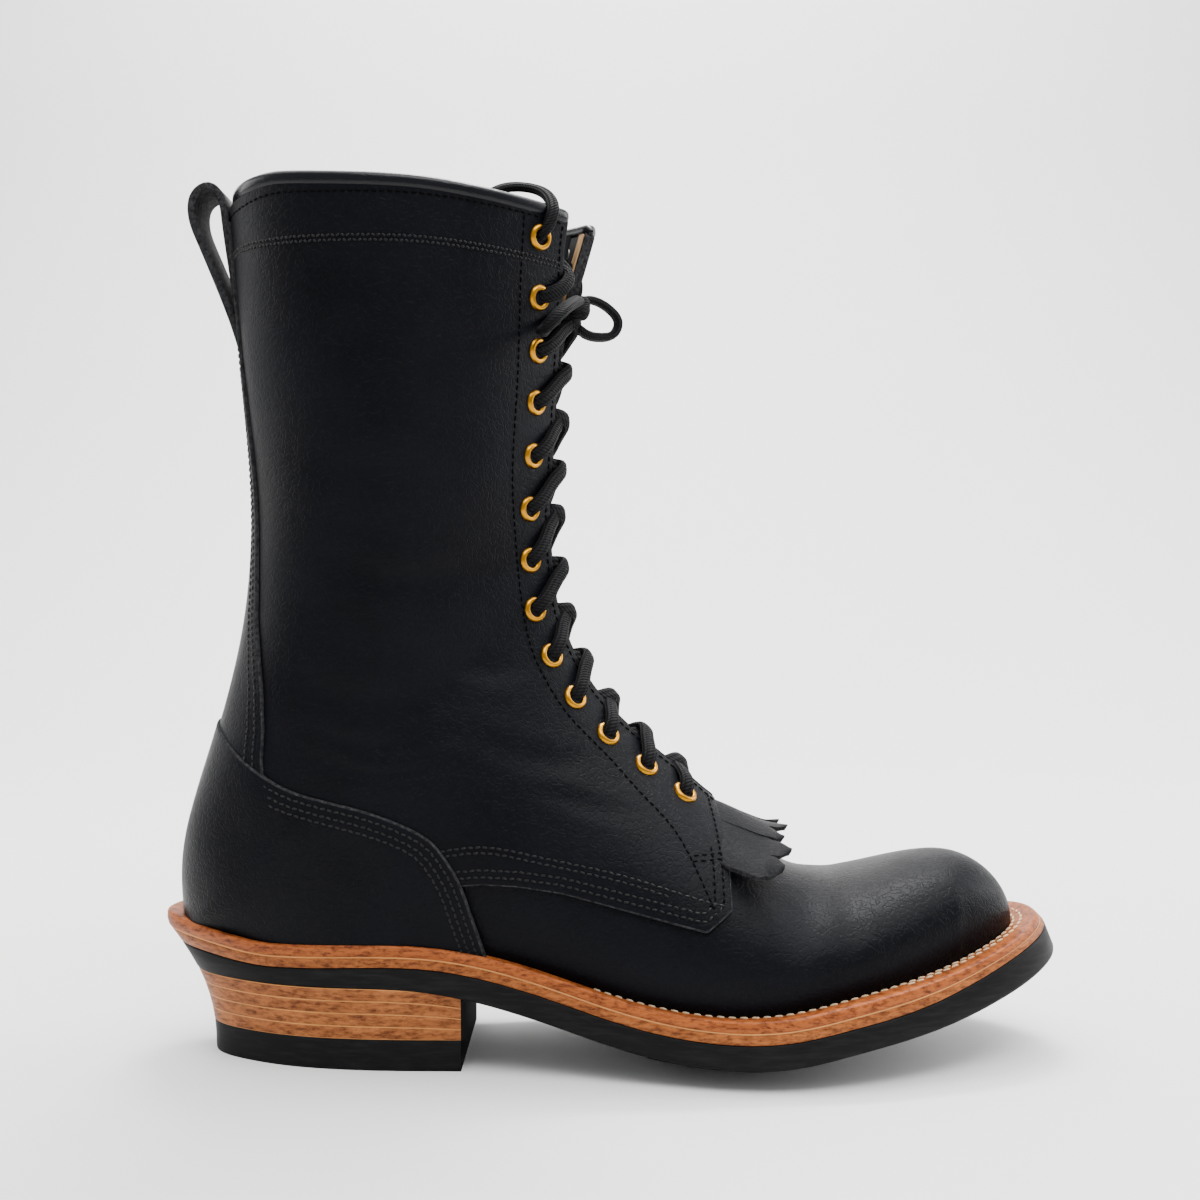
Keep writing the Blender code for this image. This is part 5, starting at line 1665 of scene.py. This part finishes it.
def build_heel():
    """Rubber top lift and the leather lifts over it."""
    heel = boot().heel
    top_lift = mm(heel.top_lift)
    lift_tan = tan_leather("heel_lift_leather", heel.leather, 0.30, (220.0, 220.0, 800.0))
    # Front faces of the lifts: near-black, rough and nearly unreflective, painted shade under the arch
    breast = plain_leather("heel_breast_paint", heel.breast, 0.95, 0.02)
    black = [sole_rubber(), sole_rubber(), breast]
    made = heel_piece("heel_top_lift_edge", flat_level(0.0), flat_level(top_lift), black)
    place(made, "black_rubber", "heel_top_lift")
    for i in range(heel.lifts):
        low, high = (lift_level(top_lift, (i + end) / heel.lifts) for end in (0, 1))
        made = heel_piece(f"heel_lift_edge_{i + 1}", low, high, [lift_tan, glue_line(), breast])
        place(made, "tan_leather", f"heel_lift_{i + 1}")


# Upper and its panels


class Fields:
    """Values over the upper's sheet that its cuts and seams follow, positive inside each piece."""

    def __init__(self, data):
        x, y, z = data["plain"].T
        k, arc, side = data["k"], data["arc"], data["side"]
        opening = throat_half(k, side) * np.sqrt(np.clip((k - THROAT_AT) / THROAT_ROUND, 0.0, 1.0))
        below = np.hypot(arc, THROAT_AT - k) + CUT_CLEAR
        self.throat = np.where(k > THROAT_AT, arc - opening, below)
        self.facing = arc - throat_half(k, side)
        self.collar = COLLAR_AT + CUT_CLEAR - collar_drop(x) - k
        self.quarter, self.quarter_way = line_distance(QUARTER_EDGE, x, z)
        self.counter = -line_distance(side_line(COUNTER_EDGE), x, z)[0]
        half = HALF(np.maximum(k, 0.0))
        round_back = half * np.arcsin(np.clip(np.abs(y) / half, 0.0, 1.0))
        width = np.interp(z, column(STRAP_WIDTHS, "z"), column(STRAP_WIDTHS, "half"))
        self.strap = width - round_back + np.where(x < STRAP_FRONT, 0.0, NOT_STRAP)
        self.collar_row = line_distance(side_line(COLLAR_ROW), x, z)[0]
        self.rear_row = line_distance(side_line(REAR_FACING_ROW), x, z)[0]
        self.quarter_row = line_distance(side_line(QUARTER_ROW), x, z)[0]


@functools.lru_cache(maxsize=None)
def upper_shape():
    """Upper's surface, its sheet of points and triangles, and the fields over the sheet."""
    surface = Surface()
    data, faces = surface.sheet()
    return surface, data, faces, Fields(data)


def build_upper():
    """Vamp with its lining, stays inside the facings, and quarters."""
    upper = boot().upper
    wall, quarter_top = mm(upper.wall), mm(upper.quarter)
    _, data, faces, fields = upper_shape()
    leathers = [upper_leather(), cut_edge()]
    vamp_data, vamp_faces = clip(data, faces, np.minimum(fields.throat, fields.collar))
    made = panel("upper_vamp", vamp_data, vamp_faces, -wall, 0.0, VAMP_BEVEL, leathers)
    place(made, "black_leather", "upper")
    inside = vamp_data["spot"] - vamp_data["normal"] * wall
    lining = plain_leather("lining_leather", upper.lining, 0.7)
    place(add_object("upper_lining", inside, vamp_faces[:, ::-1].tolist(), lining), "tan_leather")
    strip = [fields.facing - STAY_NEAR, STAY_FAR - fields.facing]
    strip += [fields.collar - STAY_BELOW_COLLAR, data["k"] - THROAT_AT - STAY_START]
    stay_data, stay_faces = clip(data, faces, np.minimum.reduce(strip))
    stay = plain_leather("facing_stay", upper.stay, 0.7)
    lifts = STAY_SINK - wall, -wall - STAY_HEIGHT
    made = panel("facing_stays", stay_data, stay_faces, *lifts, STAY_BEVEL, [stay])
    place(made, "tan_leather")
    quarter = np.minimum.reduce([fields.quarter, fields.throat, fields.collar])
    cut = clip(data, faces, quarter)
    made = panel("upper_quarters", *cut, -PANEL_SINK, quarter_top, QUARTER_BEVEL, leathers)
    place(made, "black_leather")


def build_counter():
    """Heel counter, which bulges a little where it lies over the back strap."""
    upper = boot().upper
    _, data, faces, fields = upper_shape()
    counter = np.where(data["plain"][:, 0] < COUNTER_FRONT, fields.counter, NOT_COUNTER)
    with_bulge = dict(data, bulge=smoothstep(*COUNTER_STRAP_SPAN, fields.strap))
    counter_data, counter_faces = clip(with_bulge, faces, counter)
    high = mm(upper.counter) + COUNTER_OVER_STRAP * counter_data["bulge"]
    low = mm(upper.quarter) - PANEL_SINK
    leathers = [upper_leather(), cut_edge()]
    made = panel("heel_counter_leather", counter_data, counter_faces, low, high, COUNTER_BEVEL, leathers)
    place(made, "black_leather", "heel_counter")


def build_strap():
    """Back strap, and the pull loop at its top."""
    upper = boot().upper
    _, data, faces, fields = upper_shape()
    leathers = [upper_leather(), cut_edge()]
    strap = [fields.strap, STRAP_UNDER_COUNTER - fields.counter, fields.collar - STRAP_BELOW_COLLAR]
    cut = clip(data, faces, np.minimum.reduce(strap))
    low = mm(upper.quarter) - PANEL_SINK
    made = panel("back_strap_leather", *cut, low, mm(upper.strap), STRAP_BEVEL, leathers)
    place(made, "black_leather", "pull_strap")
    make_pull_loop(leathers)


def make_pull_loop(leathers):
    """Loop of the back strap over the collar, a flat band with rounded edges."""
    route = side_line(PULL_LOOP_ROUTE, PULL_LOOP_STEPS)
    heading = unit(np.gradient(route, axis=0))
    out = np.stack([-heading[:, 1], heading[:, 0]], axis=1)
    turns = np.linspace(-math.pi / 2, math.pi / 2, 7)
    half = PULL_LOOP_HALF - PULL_LOOP_EDGE + PULL_LOOP_EDGE * np.cos(turns)
    edge = list(zip(half, PULL_LOOP_HALF_THICK * np.sin(turns)))
    ring = edge + [(-y, rise) for y, rise in reversed(edge)]
    rows = []
    for y, rise in ring:
        spots = route + out * rise
        rows.append(np.column_stack([spots[:, 0], np.full(len(route), y), spots[:, 1]]))
    points = np.stack(rows, axis=1).reshape(-1, 3)
    faces = grid_faces(len(route), len(ring), around=True)
    marks = np.tile([1] * (len(ring) - 1) + [0], len(route) - 1)
    place(add_object("pull_loop_leather", points, faces.tolist(), leathers, marks), "black_leather")


Seam = namedtuple("Seam", "values keep top kind")


def upper_seams():
    """Every row of the upper's stitches: where it runs, where it is kept, and how high it lies."""
    upper = boot().upper
    _, data, _, fields = upper_shape()
    quarter, counter, strap = mm(upper.quarter), mm(upper.counter), mm(upper.strap)
    k, side = data["k"], data["side"]
    x, z = data["plain"][:, 0], data["plain"][:, 2]
    free = fields.counter <= 0
    off_strap = (fields.strap <= 0) & (fields.throat > 2.0)
    back = free & (x < STRAP_FRONT)
    below_collar = fields.collar > 2.0
    low_edge = (fields.quarter_way < QUARTER_LOW_STOP) & free
    front_edge = (fields.quarter_way > QUARTER_FRONT_START) & (fields.throat > 1.5)
    corner = (fields.quarter > 1.5) & (x > CORNER_BACK) & (side < 0)
    rear = free & below_collar & (fields.throat > 3.0) & (fields.quarter > 2.5)
    ahead = free & (x > QUARTER_ROW_BACK)
    first, second = QUARTER_FRONT_ROWS_IN
    rows = [
        Seam(fields.facing - FACING_ROW_IN, (k > THROAT_AT + 2.0) & below_collar, quarter, BLACK_ROW),
        Seam(fields.rear_row - REAR_ROW_IN, rear, quarter, BLACK_ROW),
        Seam(fields.collar - COLLAR_EDGE_ROW_IN, off_strap, quarter, BLACK_ROW),
        Seam(fields.quarter - first, front_edge, quarter, BLACK_ROW),
        Seam(fields.quarter - second, front_edge & (z < QUARTER_SECOND_TOP), quarter, BLACK_ROW),
        Seam(fields.quarter_row, ahead & (fields.quarter > 1.0), quarter, PLAIN_ROW),
        Seam(fields.quarter_row + QUARTER_ROWS_APART, ahead & (x < QUARTER_SECOND_FRONT), quarter, PLAIN_ROW),
    ]
    for way, short in zip(STRAP_ROWS_IN, STRAP_ROWS_SHORT):
        rows.append(Seam(fields.strap - way, back & (k < COLLAR_AT - short), strap, PLAIN_ROW))
    rows += [Seam(fields.collar_row + way, off_strap, quarter, CHAIN_ROW) for way in COLLAR_ROW_WAYS]
    rows += [Seam(fields.quarter - way, low_edge, quarter, PLAIN_ROW) for way in QUARTER_LOW_ROWS_IN]
    rows += [Seam(z - level, corner, quarter, BLACK_ROW) for level in CORNER_HEIGHTS]
    rows += [Seam(fields.counter - way, x < COUNTER_FRONT, counter, PLAIN_ROW) for way in COUNTER_ROWS_IN]
    return rows


def build_seams():
    """Rows of black stitches over the upper."""
    seams = boot().seams
    _, data, faces, _ = upper_shape()
    runs = {"grey": [], "black": []}
    for seam in upper_seams():
        pitch, length = mm(seams.pitch) * seam.kind.closeness, mm(seams.length) * seam.kind.closeness
        for spots, normals in seam_lines(data, faces, seam.values, seam.keep):
            if run_length(spots)[-1] > SHORTEST_ROW:
                line = spots + normals * seam.top
                sizes = pitch, length, mm(seams.radius)
                run = stitch_run(line, normals, *sizes, STITCH_LIFT, 0.0, seam.kind.zigzag)
                runs[seam.kind.thread].append(run)
    # Grey rows take the paler thread colour, a painted highlight for the thread's glints
    grey = waxed_thread("grey_thread", seams.glint_thread, 0.42, 0.18)
    place(add_object("upper_stitches", *gather(runs["grey"])[:2], grey), "black_leather")
    black = waxed_thread("black_thread", seams.thread, 0.6, 0.03)
    place(add_object("facing_stitches", *gather(runs["black"])[:2], black), "black_leather")


def build_binding():
    """Rolled edge round the collar, from one facing round the back to the other."""
    upper = boot().upper
    radius = mm(upper.binding)
    surface = upper_shape()[0]
    gloss = black_leather("binding_leather", upper.leather, 0.2, 0.02, 0.04, 0.18)
    route = []
    for side in (LATERAL, MEDIAL):
        start = throat_half(COLLAR_AT, side) - BINDING_LAP
        arcs = np.linspace(start, surface.girth(COLLAR_AT, side), BINDING_STEPS)
        rise = unit(surface.at(COLLAR_AT, side * arcs) - surface.at(COLLAR_AT - 3.0, side * arcs))
        sunk = surface.at(COLLAR_AT, side * arcs, np.full(BINDING_STEPS, -BINDING_SINK))
        half_ring = sunk + rise * (radius * BINDING_RISE)
        route.append(half_ring if side == LATERAL else half_ring[-2::-1])
    route = np.concatenate(route)
    route[:, 2] -= collar_drop(route[:, 0])
    route[:, 0] += BINDING_TUCK * smoothstep(*BINDING_TUCK_SPAN, route[:, 0])
    points, faces, _ = tube(route, radius, BINDING_SIDES)
    made = add_object("collar_binding_leather", points, faces.tolist(), gloss)
    place(made, "binding_leather", "collar_binding")


def build_tongue():
    """Leather behind the throat, lapping under both facings."""
    upper = boot().upper
    leather = black_leather("tongue_leather", upper.leather, 0.55, mm(upper.grain), mm(upper.wrinkle), 0.05)
    rows = []
    for k in np.linspace(THROAT_AT - TONGUE_ROOT, COLLAR_AT - TONGUE_SHORT, TONGUE_ROWS):
        start, stop = -throat_half(k, LATERAL) - TONGUE_LAP, throat_half(k, MEDIAL) + TONGUE_LAP
        spots = []
        for arc in np.linspace(start, stop, TONGUE_COLUMNS):
            side = LATERAL if arc < 0 else MEDIAL
            ridge, base = section(k, side)[:2]
            inward = unit((base - ridge) * (1.0, 0.0, 1.0))
            line, run = section_line(k, side)
            on = np.array([np.interp(abs(arc), run, line[:, i]) for i in range(3)])
            spots.append(on + inward * TONGUE_DEPTH)
        rows.append(spots)
    points = np.array(rows)
    faces = grid_faces(*points.shape[:2])[:, ::-1]
    made = add_object("tongue_leather", points.reshape(-1, 3), faces.tolist(), leather)
    place(made, "black_leather", "tongue")


def kiltie_grid():
    """Outer and inner points of the kiltie, row by row from its root to its tips."""
    kiltie = boot().kiltie
    surface = upper_shape()[0]
    tooth = np.repeat(np.arange(kiltie.teeth), TOOTH_COLUMNS)
    local = np.tile(np.linspace(0.0, 1.0, TOOTH_COLUMNS), kiltie.teeth)
    end_tooth = np.isin(tooth, (0, kiltie.teeth - 1))
    longer = 1.0 + TOOTH_UNEVEN * np.sin(tooth * 2.3 + 0.6) - TOOTH_END_SHORT * end_tooth
    outer, inner = [], []
    for step in KILTIE_STEPS:
        slit = TOOTH_SLIT * smoothstep(KILTIE_BODY, KILTIE_BODY + TOOTH_SLIT_RISE, step)
        slit += TOOTH_POINT * smoothstep(*TOOTH_POINT_SPAN, step) ** 2
        share = (tooth + blend(slit, 1 - slit, local)) / kiltie.teeth * 2 - 1
        half = blend(KILTIE_ROOT_HALF, KILTIE_TIP_HALF, step)
        reach = (mm(kiltie.length) + KILTIE_OVER_VAMP) * step * longer
        k = THROAT_AT + KILTIE_UNDER_FACINGS - reach
        free = smoothstep(KILTIE_BODY, 1.0, step)
        lift = blend(KILTIE_SEAT, mm(kiltie.tip_lift), step**0.9)
        lift = lift + free * TOOTH_SWAY * np.sin(tooth * 1.9 + 1.0)
        lift += TOOTH_ARCH * free * (1 - (2 * local - 1) ** 2)
        outer.append(surface.at(k, half * share, lift + mm(kiltie.thickness)))
        inner.append(surface.at(k, half * share, lift))
    return np.array(outer), np.array(inner)


def build_kiltie():
    """Flap lying on the vamp in front of the facings, with a fringe of teeth that lifts off it."""
    leather = black_leather("kiltie_leather", boot().upper.leather, 0.5, 0.06, 0.2, 0.05)
    outer, inner = kiltie_grid()
    rows, columns = outer.shape[:2]
    index = np.arange(rows * columns).reshape(rows, columns)
    faces = []
    for i in range(rows - 1):
        for j in range(columns - 1):
            gap = j % TOOTH_COLUMNS == TOOTH_COLUMNS - 1
            if not (gap and KILTIE_STEPS[i] >= KILTIE_BODY):
                faces.append((index[i, j], index[i, j + 1], index[i + 1, j + 1], index[i + 1, j]))
    quads = np.array(faces)
    edges = np.concatenate([quads[:, [i, (i + 1) % 4]] for i in range(4)])
    _, found, count = np.unique(np.sort(edges, axis=1), axis=0, return_inverse=True, return_counts=True)
    a, b = edges[count[found.reshape(-1)] == 1].T
    walls = np.stack([b, a, a + index.size, b + index.size], axis=1)
    points = np.concatenate([outer.reshape(-1, 3), inner.reshape(-1, 3)])
    every = np.concatenate([quads[:, ::-1], quads + index.size, walls[:, ::-1]])
    marks = [0] * len(quads) + [1] * (len(quads) + len(walls))
    made = add_object("kiltie_leather", points, every.tolist(), [leather, cut_edge()], marks, sharp=50)
    place(made, "black_leather", "kiltie")


def build_insole():
    """Finish of the insole, whose solid is shown as it is."""
    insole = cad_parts["insole"]
    insole.data.materials.clear()
    insole.data.materials.append(plain_leather("insole_leather", boot().upper.insole, 0.75))


# Eyelets, lace and bow


def build_eyelets():
    """Brass rings on both facings, near-black disks in them painted as the shade of their openings, and plain
    washers on the inside.
    """
    lace, upper = boot().lace, boot().upper
    quarter_top, wall = mm(upper.quarter), mm(upper.wall)
    surface = upper_shape()[0]
    rings, hole_shades, backs, names = [], [], [], []
    parts = [
        (rings, EYELET_RING, quarter_top),
        (hole_shades, EYELET_HOLE_SHADE, quarter_top),
        (backs, EYELET_WASHER, -wall),
    ]
    turns = np.linspace(0.0, 2 * math.pi, EYELET_STEPS, endpoint=False)
    for side, label in ((LATERAL, "outer"), (MEDIAL, "inner")):
        for i, k in enumerate(eyelet_sections()):
            arc = side * eyelet_arc(k, side)
            axis = surface.normal(k, arc)
            u = unit(np.cross(axis, (0.0, 0.0, 1.0)))
            v = np.cross(axis, u)
            around = np.cos(turns)[:, None] * u + np.sin(turns)[:, None] * v
            for store, shape, seat in parts:
                middle = surface.at(k, arc, seat)
                rows = [middle + axis * rise + around * radius for radius, rise in shape]
                store.append((np.concatenate(rows), grid_faces(len(shape), len(turns), around=True)))
            names.append(f"eyelet_{label}_{i + 1:02d}")
    brass = metal("eyelet_brass", lace.brass, 0.3)
    place(add_object("eyelet_rings", *gather(rings)[:2], brass), "brass", *names)
    steel = metal("eyelet_backs", lace.washer, 0.35)
    place(add_object("eyelet_washers", *gather(backs)[:2], steel), "brass")
    # Near-black rough disks in the rings: painted shade of the eyelets' openings
    dark = rubber("eyelet_holes", HOLE_SHADE_COLOUR, 0.9)
    place(add_object("eyelet_holes", *gather(hole_shades)[:2], dark), "black_leather")


def strand_places(k_from, k_to, start, rise):
    """Running lengths, ways from the ridge and lifts of one strand of lace."""
    up, across, lift = (np.array(column(STRAND, name)) for name in ("up", "across", "lift"))
    low = smoothstep(HEEL_AT, SECTION_AT["instep"], k_from)
    k = blend(k_from, k_to, up - STRAND_SAG * low * (1 - np.abs(across)))
    side = np.where(across < 0, start, -start)
    arc = side * np.abs(across) * eyelet_arc(k, side)
    return k, arc, lift + rise * np.exp(-((across / CROSSING_SPREAD) ** 2))


def build_lace():
    """Crossings of the lace through all the eyelets, from the lowest bar to the highest pair."""
    lace = boot().lace
    surface = upper_shape()[0]
    ks = eyelet_sections()
    places = []
    for i in range(EYELETS - 2):
        for start in (LATERAL, MEDIAL):
            over = OVER_LIFT if (start == MEDIAL) == (i % 2 == 0) else UNDER_LIFT
            places.append(strand_places(ks[i], ks[i + 1], start, over))
    up, across, lift = (np.array(column(LAST_STRAND, name)) for name in ("up", "across", "lift"))
    last = blend(ks[-2], ks[-1], up)
    for side in (LATERAL, MEDIAL):
        places.append((last, side * across * eyelet_arc(last, side), lift))
    strands = []
    for k, arc, lift in places:
        both = np.concatenate([surface.at(k, arc, lift), surface.normal(k, arc)], axis=1)
        curve = smooth_route(both, STRAND_STEPS)
        strands.append(ribbon(curve[:, :3], unit(curve[:, 3:]), mm(lace.width) / 2, mm(lace.thickness) / 2))
    points, faces, uv = gather(strands)
    place(add_object("lace_strands", points, faces, lace_weave(), uv=uv), "lace_fabric", "lace")


def free_lace(name, points, normal, node, roll=0.0):
    """Free length of lace as a flat ribbon along a smooth route, standing for the solid that it shows in
    full.
    """
    lace = boot().lace
    width, thickness = mm(lace.bow_width), mm(lace.bow_thickness)
    route = smooth_route(points, CORD_POINTS)
    normals = np.array(normal) + roll * (route - route.mean(axis=0))
    mesh_points, faces, uv = ribbon(route, normals, width / 2, thickness / 2)
    made = add_object(name, mesh_points, faces.tolist(), lace_weave(), uv=uv)
    place(made, "lace_fabric", node)


def build_bow():
    """Knot, its two loops and the end that goes in over the collar."""
    free_lace("bow_loop_inner", LOOP_FAR_ROUTE, (0.3, -0.2, 1.0), "lace_loop_inner", 0.3)
    free_lace("bow_loop_outer", LOOP_NEAR_ROUTE, (0.2, -0.8, 0.5), "lace_loop_outer")
    free_lace("lace_free_end", LACE_END_ROUTE, (0.1, -0.6, 0.8), "lace_end")
    turns = np.linspace(0.0, 2 * math.pi, KNOT_STEPS)
    wraps = []
    for tilt, size in KNOT_WRAPS:
        x = KNOT_WRAP_HALF.x * size * np.cos(turns)
        y = KNOT_WRAP_HALF.y * size * np.sin(turns)
        z = KNOT_WRAP_HALF.z * np.sin(turns + tilt)
        ring = np.stack([x, y, z], axis=1)
        wraps.append(ribbon(np.array(KNOT_CENTRE) + ring, unit(ring), *KNOT_LACE_HALF))
    points, faces, uv = gather(wraps)
    place(add_object("bow_knot", points, faces, lace_weave(), uv=uv), "lace_fabric", "lace_knot")


# Stage


def build_camera():
    """Camera of the photograph."""
    lens = bpy.data.cameras.new("photo_camera")
    lens.lens = boot().stage.lens
    lens.sensor_width = CAMERA_SENSOR
    lens.clip_start = 0.01
    lens.dof.use_dof = False
    camera = bpy.data.objects.new("photo_camera", lens)
    camera.location = [value * MM for value in CAMERA_PLACE]
    camera.rotation_euler = (math.radians(90), 0.0, 0.0)
    bpy.context.scene.collection.objects.link(camera)
    bpy.context.scene.camera = camera


def soft_light(light, power):
    """Rectangular soft light that looks at a place."""
    lamp = bpy.data.lights.new(f"{light.name}_light", "AREA")
    lamp.shape = "RECTANGLE"
    lamp.size, lamp.size_y = light.size
    lamp.energy = power
    piece = bpy.data.objects.new(f"{light.name}_light", lamp)
    piece.location = light.place
    heading = np.array(light.target) - np.array(light.place)
    tilt = math.acos(-heading[2] / np.linalg.norm(heading))
    piece.rotation_euler = (tilt, 0.0, math.atan2(heading[1], heading[0]) - math.pi / 2)
    bpy.context.scene.collection.objects.link(piece)


def build_paper():
    """Pale floor that curves up behind into a backdrop."""
    colour = boot().stage.paper
    grey = Shading("studio_paper", 0.9)
    grey.set(Base_Color=grey.ramp(grey.noise(2.0), (0.3, shaded(colour, 0.97)), (0.7, tuple(colour))))
    profile = [(PAPER_FRONT, 0.0), (PAPER_BEND, 0.0)]
    for turn in np.linspace(0.0, math.pi / 2, 24)[1:]:
        profile.append((PAPER_BEND + PAPER_RADIUS * math.sin(turn), PAPER_RADIUS * (1 - math.cos(turn))))
    profile.append((PAPER_BEND + PAPER_RADIUS, PAPER_TOP))
    points = [(x, y, z) for y, z in profile for x in (-PAPER_HALF, PAPER_HALF)]
    faces = grid_faces(len(profile), 2)[:, ::-1]
    add_object("studio_paper", points, faces.tolist(), grey.material)


def build_stage():
    """Camera, paper, soft lights and a pale sky."""
    stage = boot().stage
    build_camera()
    build_paper()
    for light in LIGHTS:
        soft_light(light, getattr(stage, light.name))
    world = bpy.data.worlds.new("studio_sky")
    world.use_nodes = True
    sky = world.node_tree.nodes["Background"]
    sky.inputs["Color"].default_value = (*SKY_COLOUR, 1.0)
    sky.inputs["Strength"].default_value = stage.sky
    bpy.context.scene.world = world


# Operators and panel


class BOOT_OT_sole(bpy.types.Operator):
    """Build the outsole, midsole and welt with their stitching."""

    bl_idname = "boot.sole"
    bl_label = "Sole"

    def execute(self, context):
        build_sole()
        return {"FINISHED"}


class BOOT_OT_heel(bpy.types.Operator):
    """Build the rubber top lift and the leather lifts."""

    bl_idname = "boot.heel"
    bl_label = "Heel"

    def execute(self, context):
        build_heel()
        return {"FINISHED"}


class BOOT_OT_upper(bpy.types.Operator):
    """Build the vamp, its lining, the facing stays and the quarters."""

    bl_idname = "boot.upper"
    bl_label = "Vamp and quarters"

    def execute(self, context):
        build_upper()
        return {"FINISHED"}


class BOOT_OT_counter(bpy.types.Operator):
    """Build the heel counter."""

    bl_idname = "boot.counter"
    bl_label = "Heel counter"

    def execute(self, context):
        build_counter()
        return {"FINISHED"}


class BOOT_OT_strap(bpy.types.Operator):
    """Build the back strap and its pull loop."""

    bl_idname = "boot.strap"
    bl_label = "Back strap"

    def execute(self, context):
        build_strap()
        return {"FINISHED"}


class BOOT_OT_binding(bpy.types.Operator):
    """Build the rolled edge of the collar."""

    bl_idname = "boot.binding"
    bl_label = "Binding"

    def execute(self, context):
        build_binding()
        return {"FINISHED"}


class BOOT_OT_tongue(bpy.types.Operator):
    """Build the tongue behind the throat."""

    bl_idname = "boot.tongue"
    bl_label = "Tongue"

    def execute(self, context):
        build_tongue()
        return {"FINISHED"}


class BOOT_OT_insole(bpy.types.Operator):
    """Give the insole its finish."""

    bl_idname = "boot.insole"
    bl_label = "Insole"

    def execute(self, context):
        build_insole()
        return {"FINISHED"}


class BOOT_OT_seams(bpy.types.Operator):
    """Sew the rows of black stitches on the upper."""

    bl_idname = "boot.seams"
    bl_label = "Stitching"

    def execute(self, context):
        build_seams()
        return {"FINISHED"}


class BOOT_OT_kiltie(bpy.types.Operator):
    """Build the fringed flap on the vamp."""

    bl_idname = "boot.kiltie"
    bl_label = "Kiltie"

    def execute(self, context):
        build_kiltie()
        return {"FINISHED"}


class BOOT_OT_eyelets(bpy.types.Operator):
    """Set the brass eyelets in both facings."""

    bl_idname = "boot.eyelets"
    bl_label = "Eyelets"

    def execute(self, context):
        build_eyelets()
        return {"FINISHED"}


class BOOT_OT_lace(bpy.types.Operator):
    """Run the lace through all the eyelets."""

    bl_idname = "boot.lace"
    bl_label = "Lace"

    def execute(self, context):
        build_lace()
        return {"FINISHED"}


class BOOT_OT_bow(bpy.types.Operator):
    """Tie the bow and lay the lace's end over the collar."""

    bl_idname = "boot.bow"
    bl_label = "Bow"

    def execute(self, context):
        build_bow()
        return {"FINISHED"}


class BOOT_OT_stage(bpy.types.Operator):
    """Set up the camera, the paper and the lights."""

    bl_idname = "boot.stage"
    bl_label = "Stage"

    def execute(self, context):
        build_stage()
        return {"FINISHED"}


UPPER_OPERATORS = (
    BOOT_OT_upper,
    BOOT_OT_counter,
    BOOT_OT_strap,
    BOOT_OT_binding,
    BOOT_OT_tongue,
    BOOT_OT_insole,
)
PANEL_GROUPS = (
    ("sole", (BOOT_OT_sole,)),
    ("heel", (BOOT_OT_heel,)),
    ("upper", UPPER_OPERATORS),
    ("seams", (BOOT_OT_seams,)),
    ("kiltie", (BOOT_OT_kiltie,)),
    ("lace", (BOOT_OT_eyelets, BOOT_OT_lace, BOOT_OT_bow)),
    ("stage", (BOOT_OT_stage,)),
)


class VIEW3D_PT_kiltie_boot(bpy.types.Panel):
    """List of the boot's settings and pieces."""

    bl_idname = "VIEW3D_PT_kiltie_boot"
    bl_label = "Kiltie boot"
    bl_space_type = "VIEW_3D"
    bl_region_type = "UI"
    bl_category = "Boot"

    def draw(self, context):
        for group, operators in PANEL_GROUPS:
            box = self.layout.box()
            settings = getattr(context.scene.kiltie_boot, group)
            for name in type(settings).__annotations__:
                box.prop(settings, name)
            for operator in operators:
                box.operator(operator.bl_idname)


CLASSES = (
    SoleSettings,
    HeelSettings,
    UpperSettings,
    SeamSettings,
    KiltieSettings,
    LaceSettings,
    StageSettings,
    BootSettings,
    *[operator for group, operators in PANEL_GROUPS for operator in operators],
    VIEW3D_PT_kiltie_boot,
)


def register():
    for made in CLASSES:
        bpy.utils.register_class(made)
    bpy.types.Scene.kiltie_boot = PointerProperty(type=BootSettings)


def unregister():
    del bpy.types.Scene.kiltie_boot
    for made in reversed(CLASSES):
        bpy.utils.unregister_class(made)


def main():
    """Register the classes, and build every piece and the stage."""
    register()
    bpy.ops.boot.sole()
    bpy.ops.boot.heel()
    bpy.ops.boot.upper()
    bpy.ops.boot.counter()
    bpy.ops.boot.strap()
    bpy.ops.boot.binding()
    bpy.ops.boot.tongue()
    bpy.ops.boot.insole()
    bpy.ops.boot.seams()
    bpy.ops.boot.kiltie()
    bpy.ops.boot.eyelets()
    bpy.ops.boot.lace()
    bpy.ops.boot.bow()
    bpy.ops.boot.stage()


if __name__ == "__main__":
    main()
